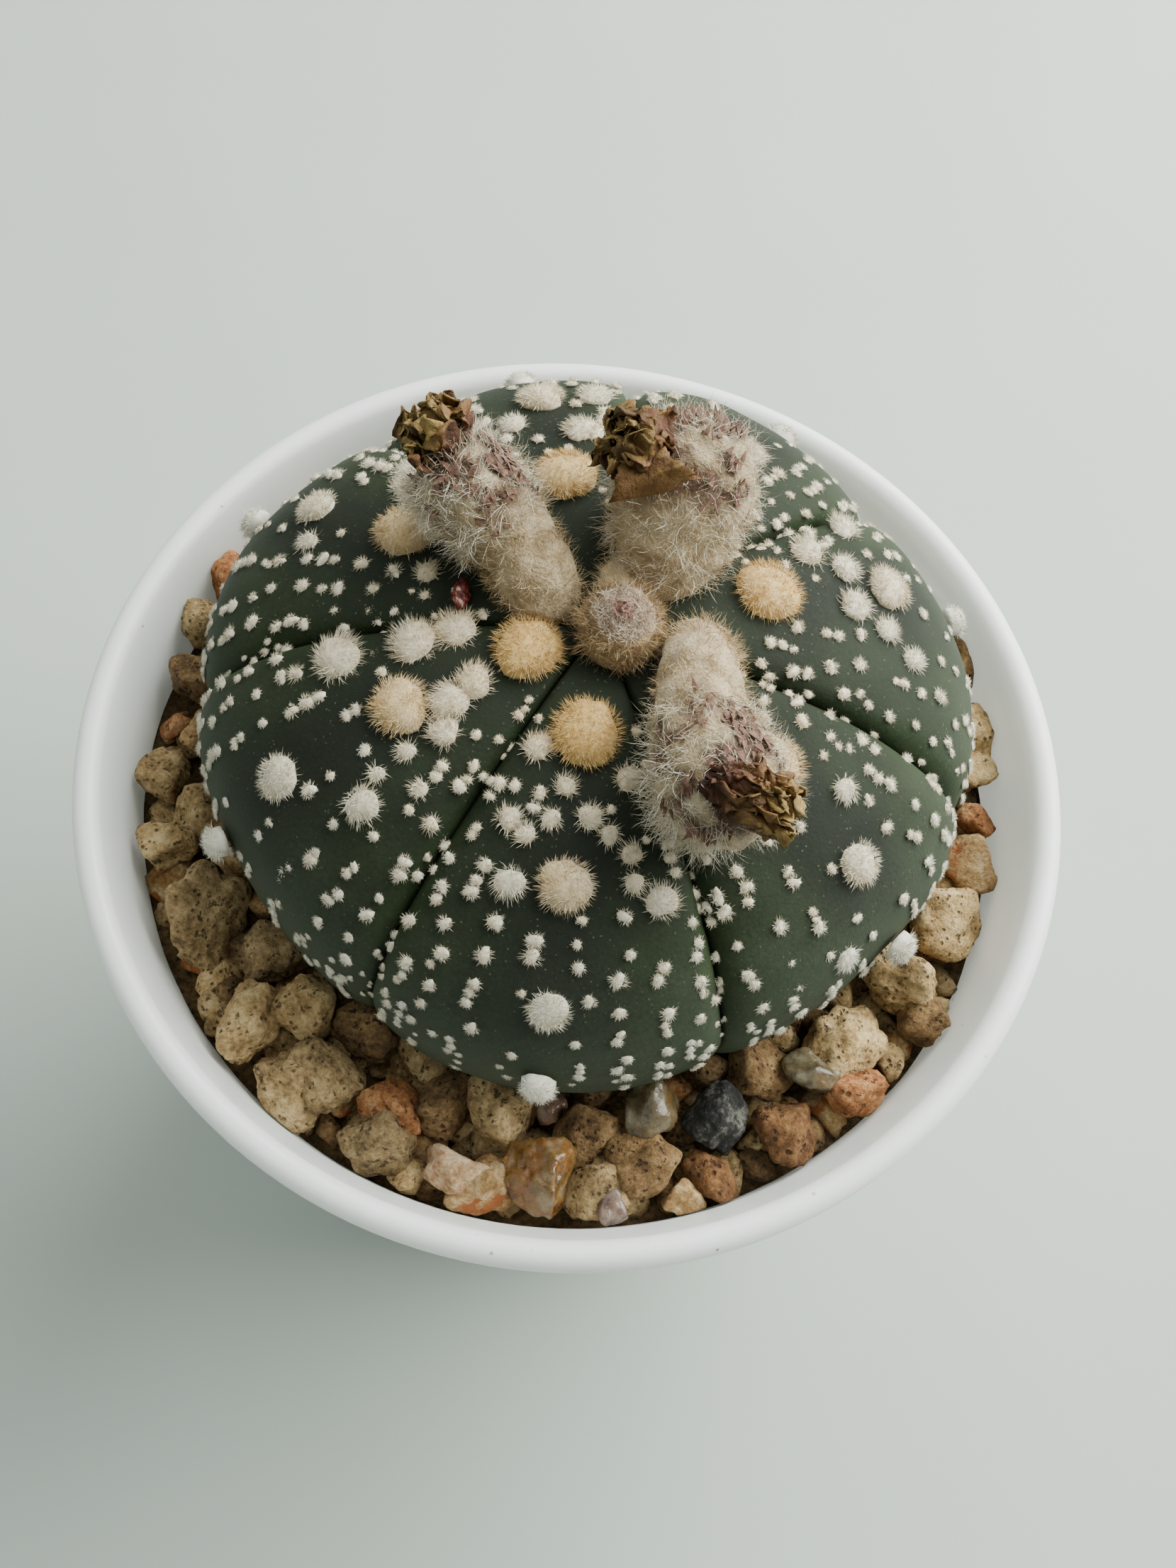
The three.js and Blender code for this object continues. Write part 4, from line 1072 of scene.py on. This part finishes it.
def crumpled_sheet(flat, thick, seed, amount):
    """A closed thin sheet from a grid of points: points, faces and how deep in a fold each lies, for the
    shade painted there.
    """
    rows, columns, _ = flat.shape
    points = flat.reshape(-1, 3)
    wide, small = points / (1.35 * MM) + 7 * seed, points / (0.55 * MM) + 3 * seed
    broad = np.stack([rough_noise(wide, 2, seed + k) for k in range(3)], axis=-1)
    fine = np.stack([smooth_noise(small, seed + 9 + k) for k in range(3)], axis=-1)
    weight = np.repeat(amount, columns)[:, None]
    points = points + (broad * 0.95 + fine * 0.55) * weight * MM
    # How deep in a fold each point lies, for the shade painted into the folds
    fold_shade = np.clip(-(broad[:, 0] + fine[:, 1] * 0.5) * 1.1 + 0.05, 0, 1)
    count = rows * columns
    skin = np.concatenate([points + thick, points - thick])
    sheet = to_triangles(grid_faces(rows, columns, closed=False))
    edge = np.concatenate([
        np.arange(columns), np.arange(1, rows) * columns + columns - 1,
        count - 2 - np.arange(columns - 1), (rows - 2 - np.arange(rows - 2)) * columns])
    after = np.roll(edge, -1)
    rim = np.concatenate([np.stack([edge, after, after + count], axis=-1),
                          np.stack([edge, after + count, edge + count], axis=-1)])
    faces = np.concatenate([sheet, sheet[:, ::-1] + count, rim[:, ::-1]])
    return skin, faces, np.concatenate([fold_shade, fold_shade])


def dried_petals(flower, seed):
    """Crumpled, curled petals in a bunch: points, faces, the share along each petal and the shade painted
    into their folds.
    """
    rng = np.random.default_rng(seed)
    base, tip = over_rim(flower["neck"]), over_rim(flower["end"])
    way = unit(tip - base)
    length = np.linalg.norm(tip - base)
    width = flower["width"] * MM
    side, over = (a[0] for a in across_axes(way[None]))
    share = np.linspace(0, 1, PETAL_ROWS)[:, None]
    place = np.linspace(-1, 1, PETAL_COLUMNS)[None]
    parts, alongs, fold_shades = [], [], []
    for index in range(PETALS):
        angle = index * GOLDEN_TURN + rng.uniform(-0.3, 0.3)
        outward = side * math.cos(angle) + over * math.sin(angle)
        cross = np.cross(way, outward)
        ring = math.sqrt(index / PETALS)
        reach = length * rng.uniform(0.72, 1.12)
        half = width * (0.05 + 0.12 * np.sin(share * math.pi * 0.8) ** 0.9) * (1 - 0.5 * share ** 5)
        opening = np.sin(math.pi * (0.2 + 0.6 * share))
        spread = width * (0.07 + 0.36 * ring * rng.uniform(0.8, 1.1) * opening)
        cup = (place ** 2) * half * rng.uniform(-0.9, 0.9)
        twist = rng.uniform(-1.2, 1.2) * share
        middle = base + outward * (spread + cup)[..., None]
        middle = middle + way * (reach * share * (1 - 0.1 * share))[..., None]
        leaf = cross * np.cos(twist)[..., None] + outward * np.sin(twist)[..., None]
        flat = middle + leaf * (half * place)[..., None]
        crumple = 0.35 + 0.75 * share[:, 0]
        skin, faces, fold_shade = crumpled_sheet(flat, outward * 0.1 * MM, seed * 40 + index, crumple)
        parts.append((skin, faces))
        fold_shades.append(fold_shade)
        along = np.repeat(share[:, 0], PETAL_COLUMNS)
        alongs.append(np.concatenate([along, along]))
    if flower["sheet"]:
        start = base * 0.45 + tip * 0.55
        down = over_rim(flower["sheet"]) - start
        cross = unit(np.cross(down, [0, -0.5, 1]))
        out = unit(np.cross(cross, down))
        half = (1.2 + 2.9 * share) * MM
        down_share = share * (1 - 0.16 * place * share)
        bulge = 1.4 * MM * np.sin(share * math.pi) + 1.1 * MM * np.abs(place - 0.25) * share
        flat = start + down * down_share[..., None]
        flat = flat + cross * (half * place)[..., None] + out * bulge[..., None]
        skin, faces, fold_shade = crumpled_sheet(flat, out * 0.09 * MM, seed * 41, 0.3 + 0.1 * share[:, 0])
        parts.append((skin, faces))
        fold_shades.append(fold_shade * 0.25)
        alongs.append(np.full(len(skin), 0.66))
    points, faces = merged(parts)
    return points, faces, np.concatenate(alongs), np.concatenate(fold_shades)


def woolly_limb(name, limb, seed, core_roughness, material, coats, rng):
    """A limb's core and its coats of wool."""
    points, faces = limb.skin(core_roughness, seed)
    core = mesh_object(f"{name}_core", points, faces, material)
    along = np.concatenate([np.repeat(np.linspace(0, 1, LIMB_STEPS), CORE_SIDES), [0, 1]])
    ends = limb.data[[0, -1], :3] - limb.ways[[0, -1]]
    middles = np.concatenate([np.repeat(limb.data[:, :3], CORE_SIDES, axis=0), ends])
    shown = patches(points, unit(points - middles), seed)
    add_values(core, "patch", shown * np.clip((along - 0.4) / 0.15, 0, 1))
    # A low fixed tone: the core painted a little darker than its strands, as shade deep in the wool
    add_values(core, "tone", np.full(len(points), 0.3))
    made = [core]
    for part, (wool, count, length, first, last, curl, segments) in coats.items():
        strings = wool_coat(limb, count, length * MM, first, last, curl, segments, seed, rng)
        made.append(hair_object(f"{name}_{part}", [strings], segments, wool, rng))
    return made


def make_flowers():
    beige = wool_material("tube_wool", (176, 146, 104), (226, 204, 164), (150, 112, 92), 0.4)
    grey = wool_material("head_wool", (214, 198, 170), (248, 240, 220), (166, 138, 118), 0.4)
    # The core's wool is painted darker than the coats, as shade deep between the strands; in patches it goes
    # over to the scales' reddish brown
    core_wool_shaded = wool_material("core_wool_shaded", (170, 146, 110), (214, 194, 160), (96, 68, 58), 0.9)
    scales = scale_material("scale_tip", (82, 56, 46), (142, 108, 92))
    petals = petal_material()
    for index, flower in enumerate(FLOWERS):
        # Each coat of wool: material, strands, length in mm, first and last place, curl and segments
        coats = {
            "plush": (beige, 6000, 1.5, 0.04, 0.64, 0.7, 3),
            "wool": (grey, 6800, 2.5, flower["wool_from"], 1.0, 0.9, 4),
        }
        number = index + 1
        name = f"flower_tube_{number}"
        rng = np.random.default_rng(FLOWER_SEED + index)
        limb = Limb(flower["tube"])
        made = woolly_limb(name, limb, PATCH_SEED + index, 0.45 * MM, core_wool_shaded, coats, rng)
        tips = scale_tips(limb, HEAD_SCALES, 0.46, 0.98, PATCH_SEED + index, rng)
        made.append(mesh_object(f"{name}_scales", *tips, scales))
        points, faces, along, fold_shade = dried_petals(flower, COROLLA_SEED + index)
        corolla = mesh_object(f"dried_corolla_{number}", points, faces, petals)
        add_values(corolla, "along", along)
        add_values(corolla, "fold_shade", fold_shade)
        for piece in made:
            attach(piece, "root")
        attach(corolla, "root")
        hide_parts(name)
        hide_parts(f"dried_flower_{number}")
    rng = np.random.default_rng(BUD_SEED)
    limb = Limb(BUD)
    bud_wool = wool_material("bud_wool", (158, 126, 88), (208, 180, 136), (168, 118, 108), 0.3)
    coats = {
        "plush": (bud_wool, 3400, 1.5, 0.1, 0.92, 0.6, 3),
        "crown": (bud_wool, 1200, 1.2, 0.86, 1.0, 0.6, 3),
    }
    made = woolly_limb("young_bud", limb, BUD_PATCH_SEED, 0.3 * MM, bud_wool, coats, rng)
    pink = scale_material("bud_scale", (128, 82, 74), (174, 132, 120))
    made.append(mesh_object("young_bud_scales", *bud_scales(limb, rng), pink))
    crown = cap_wool(limb, rng)
    cap = wool_material("bud_cap", (190, 158, 134), (240, 228, 208), (160, 120, 104), 0.5)
    made.append(hair_object("young_bud_cap", [crown], 3, cap, rng))
    for piece in made:
        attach(piece, "root")
    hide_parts("young_bud")


# Stones

def stone(centre, size, seed, base, rounding, roughness, pits=0):
    """A broken stone: a ball cut by random planes with worn edges, then roughened and pitted."""
    rng = np.random.default_rng(seed)
    points, faces = base
    planes = unit(rng.normal(0, 1, (12, 3)))
    facing = np.maximum(points @ planes.T, 0) / rng.uniform(0.66, 1.0, 12)
    radius = np.maximum((facing ** rounding).sum(axis=1), 1e-9) ** (-1 / rounding)
    shaped = points * np.minimum(radius, 1.25)[:, None]
    shaped = shaped / np.abs(shaped).max(axis=0)
    wobble = rough_noise(shaped * 1.5 + seed, 2, seed) * 0.13
    wobble = wobble + rough_noise(shaped * 4.5 + seed, 4, seed) * roughness
    for _ in range(pits):
        spot = unit(rng.normal(0, 1, 3))
        reach = 0.06 + 0.22 * rng.uniform(0, 1) ** 2
        near = np.clip(1 - np.linalg.norm(points - spot, axis=1) / reach, 0, 1)
        wobble = wobble - near * (2 - near) * reach * 0.6
    shaped = shaped * (1 + wobble)[:, None]
    scaled = shaped * (np.array(size) / 2)
    turn = rng.uniform(0, 2 * math.pi)
    tilt = rng.uniform(-0.35, 0.35)
    spin = Matrix.Rotation(turn, 3, "Z") @ Matrix.Rotation(tilt, 3, "X")
    return scaled @ np.array(spin).T + np.array(centre), faces


def kept_inside(points):
    """A stone moved in from the pot's wall, and worn flat where it still touches it."""
    limit = wall_radius(points[:, 2]) - WALL - WALL_CLEARANCE
    reach = np.hypot(points[:, 0], points[:, 1])
    over = min(max((reach - limit).max(), 0), MOST_MOVED)
    middle = points[:, :2].mean(axis=0)
    moved = points.copy()
    moved[:, :2] -= middle / np.linalg.norm(middle) * over
    reach = np.hypot(moved[:, 0], moved[:, 1])
    moved[:, :2] *= np.minimum(1, limit / reach)[:, None]
    return moved


def add_stone_tones(piece, parts, seed):
    """Each stone of a piece a little lighter or darker than the next."""
    rng = np.random.default_rng(seed)
    tones = [np.full(len(points), rng.uniform(0, 1)) for points, _ in parts]
    add_values(piece, "tone", np.concatenate(tones))


# Stones that stand out: node, place over the pot's centre, height over the bed, size in mm and kind
NAMED_STONES = [
    ("pumice_large", (-34.2, -21.4), 2.4, (11, 9.4, 8), "pumice"),
    ("pumice_pale", (-27, -31.2), 2, (8.4, 7, 6.4), "pale"),
    ("pumice_lobed", (-18.6, -34.4), 2.2, (8.6, 7, 7), "pumice"),
    ("granite_orange", (-11.6, -37), 1.8, (7.2, 6.2, 5.6), "orange"),
    ("feldspar_pink", (-4.8, -41.8), 1.8, (6.8, 4.4, 4.6), "pink"),
    ("citrine", (3.4, -41), 2.4, (8.8, 8, 7), "citrine"),
    ("quartz_rose", (3.6, -34), 1.2, (4.4, 3.8, 3.6), "rose"),
    ("pebble_round", (13.2, -37.8), 2.2, (8, 7.6, 6.8), "brown"),
    ("quartz_mauve", (10.4, -43), 1.4, (4, 3.4, 3.2), "mauve"),
    ("stone_black", (19.2, -32.8), 2, (7.2, 6.4, 5.8), "black"),
    ("stone_rust", (26.8, -34), 2, (7, 6.4, 6), "rust"),
    ("quartz_clear", (27.4, -26.6), 1.8, (7, 5.4, 5), "clear"),
    ("pumice_right", (36.4, -15.6), 2.6, (9.4, 7, 7.4), "pale"),
    ("stone_umber", (39.6, -20), 1.4, (7, 6, 5.6), "brown"),
    ("granite_pink", (43.2, 3.4), 1.6, (5, 4.2, 4.2), "orange"),
    ("pumice_dark", (-41.4, 4.2), 2.2, (7, 6, 6.4), "umber"),
    ("pumice_yellow", (-34.4, 27), 1.8, (6.2, 5, 5), "pale"),
]


# Other stones seen in the photo: place over the pot's centre, width in mm and kind
SEEN_STONES = [
    ((-42, -6.9), 5.6, "pale"), ((-35.7, -9.8), 7.6, "pale"), ((-39.8, -14.4), 5.4, "pale"),
    ((-22, -28.4), 6.6, "pale"), ((-22.6, -38), 7, "pumice"), ((-7.2, -36), 7.6, "umber"),
    ((-1.6, -35.2), 7.2, "pumice"), ((-2, -43.6), 6.2, "cream"), ((9, -41.4), 6.6, "pumice"),
    ((7.2, -36.4), 6, "brown"), ((12.4, -32.4), 6.6, "clear"), ((20.2, -39.4), 5.4, "rust"),
    ((17.6, -41.8), 3.6, "cream"), ((31, -23), 8.4, "pale"), ((33.2, -28.6), 5.4, "orange"),
    ((40.4, -9), 9, "pale"), ((43.8, -2), 6.8, "cream"), ((42.2, 9), 6, "pale"),
    ((42.6, 14), 7.2, "pale"), ((41.6, 22), 7, "brown"), ((35.4, 30.4), 6.8, "pale"),
    ((-37.4, 32.6), 5.4, "rust"), ((-41.6, 17.4), 7, "orange"), ((-42.8, 11.4), 6.4, "pumice"),
    ((-13.6, -41.6), 7.2, "pumice"), ((-16, -29.6), 6.4, "umber"), ((22.4, -27.2), 6, "brown"),
]


def stone_kinds():
    # The fourth colour of a stone, where given, is the shade painted into its pits
    return {
        "pumice": stone_material(
            "pumice", (102, 82, 54), (154, 128, 88), (194, 168, 124), (50, 38, 24)),
        "pale": stone_material(
            "pumice_pale", (124, 98, 62), (178, 148, 102), (212, 186, 140), (64, 48, 30)),
        "umber": stone_material(
            "pumice_umber", (72, 56, 36), (112, 86, 56), (154, 124, 84), (34, 26, 17)),
        "orange": stone_material(
            "granite_orange", (116, 72, 40), (160, 106, 64), (196, 152, 108), (84, 48, 28), 1.4),
        "pink": stone_material(
            "feldspar_pink", (140, 106, 74), (188, 154, 116), (220, 198, 166),
            veins=(168, 116, 88)),
        "cream": stone_material(
            "feldspar_cream", (130, 96, 58), (178, 142, 94), (214, 190, 150),
            veins=(166, 100, 56)),
        "brown": stone_material(
            "stone_brown", (80, 58, 36), (128, 98, 62), (166, 136, 94), (48, 34, 22)),
        "rust": stone_material(
            "stone_rust", (72, 46, 27), (114, 78, 45), (152, 112, 72), (44, 26, 16), 1.2),
        "black": stone_material(
            "stone_black", (22, 22, 21), (42, 41, 39), (118, 115, 106), gloss=(0.4, 0.7)),
        "citrine": clear_material(
            "citrine", (160, 124, 70), (100, 68, 32), (190, 168, 132), (168, 100, 36)),
        "rose": clear_material("quartz_rose", (160, 126, 104), (100, 72, 56), (190, 162, 140)),
        "mauve": clear_material("quartz_mauve", (146, 118, 104), (92, 70, 60), (180, 156, 140)),
        "clear": clear_material(
            "quartz_clear", (140, 128, 98), (84, 73, 50), (188, 179, 154), (138, 102, 52)),
    }


POROUS = ("pumice", "pale", "umber")
SHARP = ("black", "rose", "mauve", "clear")

# Rounds of packing the other stones: tries, widths in mm, room each keeps and heights over the bed
FILL_ROUNDS = [
    (1500, (5.8, 8.8), 0.8, (-0.4, 1.4)),
    (900, (3.2, 5), 0.8, (-0.6, 1.0)),
    (2800, (3.6, 6), 0.42, (-2.6, -1.2)),
]
FILL_SHARES = {"pumice": 8, "pale": 8, "umber": 3, "brown": 4, "cream": 2, "orange": 1, "rust": 1}


def stone_of(kind, place, size, seed, base):
    """A stone of a kind inside the pot: quartz keeps sharp edges, pumice is worn and full of pits."""
    rounding = 22 if kind in SHARP else 9 if kind in POROUS else 12
    pits = 46 if kind in POROUS else 5
    points, faces = stone(place, np.array(size) * MM, seed, base, rounding, 0.07, pits)
    return kept_inside(points), faces


def seen_parts(shapes):
    """The other stones seen in the photo, by kind."""
    rng = np.random.default_rng(SEEN_SEED)
    groups = {}
    for index, ((x, y), width, kind) in enumerate(SEEN_STONES):
        size = (width * 1.22, width * rng.uniform(0.9, 1.06), width * rng.uniform(0.8, 0.95))
        place = (x * MM, y * MM, BED_SURFACE + rng.uniform(0.9, 2.1) * MM)
        made = stone_of(kind, place, size, SEEN_STONE_SEED + index, shapes[4])
        groups.setdefault(kind, []).append(made)
    return groups


def fill_parts(groups, shapes, inner_wall):
    """Stones packed between those, and a lower layer of smaller ones."""
    rng = np.random.default_rng(FILL_SEED)
    placed = [(x, y, size[0] / 2) for _, (x, y), _, size, _ in NAMED_STONES]
    placed += [(x, y, width / 2) for (x, y), width, _ in SEEN_STONES]
    chances = [kind for kind, share in FILL_SHARES.items() for _ in range(share)]
    reach = inner_wall / MM
    rounds = [row for row in FILL_ROUNDS for _ in range(row[0])]
    for attempt, (_, size_range, overlap, heights) in enumerate(rounds):
        size = rng.uniform(*size_range)
        radius = math.sqrt(rng.uniform(0.4, 1)) * (reach - size * 0.46)
        angle = rng.uniform(0, 2 * math.pi)
        x, y = radius * math.cos(angle), radius * math.sin(angle)
        if math.hypot(x - PLANT_X / MM, y - PLANT_Y / MM) < PLANT_RADIUS / MM - 2.5:
            continue
        if any(math.hypot(x - a, y - b) < (room + size / 2) * overlap for a, b, room in placed):
            continue
        placed.append((x, y, size / 2))
        kind = chances[rng.integers(len(chances))]
        sizes = (size * 1.15, size * rng.uniform(0.8, 1.0), size * rng.uniform(0.7, 0.9))
        place = (x * MM, y * MM, BED_SURFACE + rng.uniform(*heights) * MM)
        base = shapes[4] if size > 6.4 else shapes[3]
        made = stone_of(kind, place, sizes, FILL_STONE_SEED + attempt, base)
        groups.setdefault(kind, []).append(made)


def make_stones():
    kinds = stone_kinds()
    shapes = {cuts: ball(cuts) for cuts in (3, 4, 5)}
    for index, (node, (x, y), lift, size, kind) in enumerate(NAMED_STONES):
        base = shapes[5] if size[0] > 8 else shapes[4]
        place = (x * MM, y * MM, BED_SURFACE + lift * MM)
        shape = stone_of(kind, place, size, NAMED_STONE_SEED + index, base)
        piece = mesh_object(f"{node}_stone", *shape, kinds[kind])
        add_values(piece, "tone", np.full(len(piece.data.vertices), 0.5))
        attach(piece, "root")
        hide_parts(node)
    inner_wall = wall_radius(BED_SURFACE) - WALL
    groups = seen_parts(shapes)
    fill_parts(groups, shapes, inner_wall)
    for kind, parts in groups.items():
        piece = mesh_object(f"gravel_{kind}", *merged(parts), kinds[kind])
        add_stone_tones(piece, parts, len(parts))
        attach(piece, "root")
    make_bed(inner_wall)


def make_bed(inner_wall):
    """The mix under the stones: an uneven top and a plain body down to the pot's floor."""
    level = BED_SURFACE - MIX_UNDER_STONES
    low_height = FLOOR_THICKNESS + 0.3 * MM
    low_radius = wall_radius(low_height) - WALL - 0.3 * MM
    profile = [(radius, level) for radius in np.linspace(6 * MM, inner_wall - 0.3 * MM, BED_ROWS)]
    rings = turned(np.array(profile + [(low_radius, low_height)]), BED_TURNS)
    bumps = rough_noise(rings[:-1].reshape(-1, 3) / (1.8 * MM), 3, BED_SEED)
    rings[:-1, :, 2] += bumps.reshape(BED_ROWS, BED_TURNS) * 0.5 * MM
    shape = capped_grid(rings, np.array([0, 0, level]), np.array([0, 0, low_height]))
    bed = mesh_object("gravel_mix", *shape, soil_material())
    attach(bed, "root")
    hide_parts("gravel_bed")


SCRAP_SIZE = (3.2 * MM, 2.1 * MM, 1.5 * MM)


def make_scrap():
    point, normal = (a[0] for a in skin_at(np.array([179.0]), step_at_radius(np.array([12.4 * MM]))))
    centre = point + normal * 0.85 * MM
    made = Shader("dry_scrap", 0.45, Specular_IOR_Level=0.4)
    # Dark red, with pale patches painted on as glints
    made.paint(made.ramp(
        made.noise(0.7 * MM, 4),
        (0.35, (62, 16, 12)),
        (0.56, (112, 38, 26)),
        (0.68, (196, 180, 164)),
    ))
    made.relief(made.noise(0.4 * MM, 3), 0.15 * MM)
    shape = stone(centre, SCRAP_SIZE, SCRAP_SEED, ball(4), 16, 0.12)
    piece = mesh_object("dry_scrap_piece", *shape, made.material)
    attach(piece, "root")
    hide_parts("dry_scrap")


# Stage

def make_stage():
    made = Shader("stage_floor", 0.7, Specular_IOR_Level=0.3)
    made.paint(made.ramp(made.noise(60 * MM, 2), (0.3, (180, 188, 180)), (0.7, (184, 192, 184))))
    bpy.ops.mesh.primitive_plane_add(size=FLOOR_SIZE, location=(0, 0, 0))
    floor = bpy.context.object
    floor.name = "stage_floor"
    floor.data.materials.append(made.material)


def area_light(name, place, size, power, colour):
    """A rectangular light, sizes in metres, that looks at the middle of the pot's rim."""
    data = bpy.data.lights.new(name, "AREA")
    data.shape = "RECTANGLE"
    data.size, data.size_y = size
    data.energy = power
    data.color = colour
    lamp = bpy.data.objects.new(name, data)
    bpy.context.scene.collection.objects.link(lamp)
    lamp.location = place
    lamp.rotation_euler = (Vector((0, 0, POT_TOP)) - Vector(place)).to_track_quat("-Z", "Y").to_euler()


def make_lights():
    area_light("window", *WINDOW_LIGHT)
    area_light("sky", *SKY_LIGHT)
    world = bpy.data.worlds.new("studio")
    world.use_nodes = True
    back = world.node_tree.nodes["Background"]
    back.inputs["Color"].default_value = ROOM_COLOUR
    back.inputs["Strength"].default_value = ROOM_POWER
    bpy.context.scene.world = world


def make_camera():
    data = bpy.data.cameras.new("photo_camera")
    data.sensor_width = SENSOR_MM
    data.lens = FOCAL_LENGTH_PX * SENSOR_MM / PHOTO_HEIGHT_PX
    data.clip_start = 5 * MM
    camera = bpy.data.objects.new("photo_camera", data)
    bpy.context.scene.collection.objects.link(camera)
    x, y, z = CAMERA_OVER_RIM
    aim = Matrix.Rotation(math.pi / 2 - LOOKS_DOWN, 4, "X") @ Matrix.Rotation(CAMERA_ROLL, 4, "Z")
    camera.matrix_world = Matrix.Translation((x, y, z + POT_TOP)) @ aim
    bpy.context.scene.camera = camera


make_camera()
make_stage()
make_lights()
make_pot()
make_body()
felt_paint = felt_material()
make_areoles(felt_paint)
make_flecks(felt_paint)
make_flowers()
make_stones()
make_scrap()
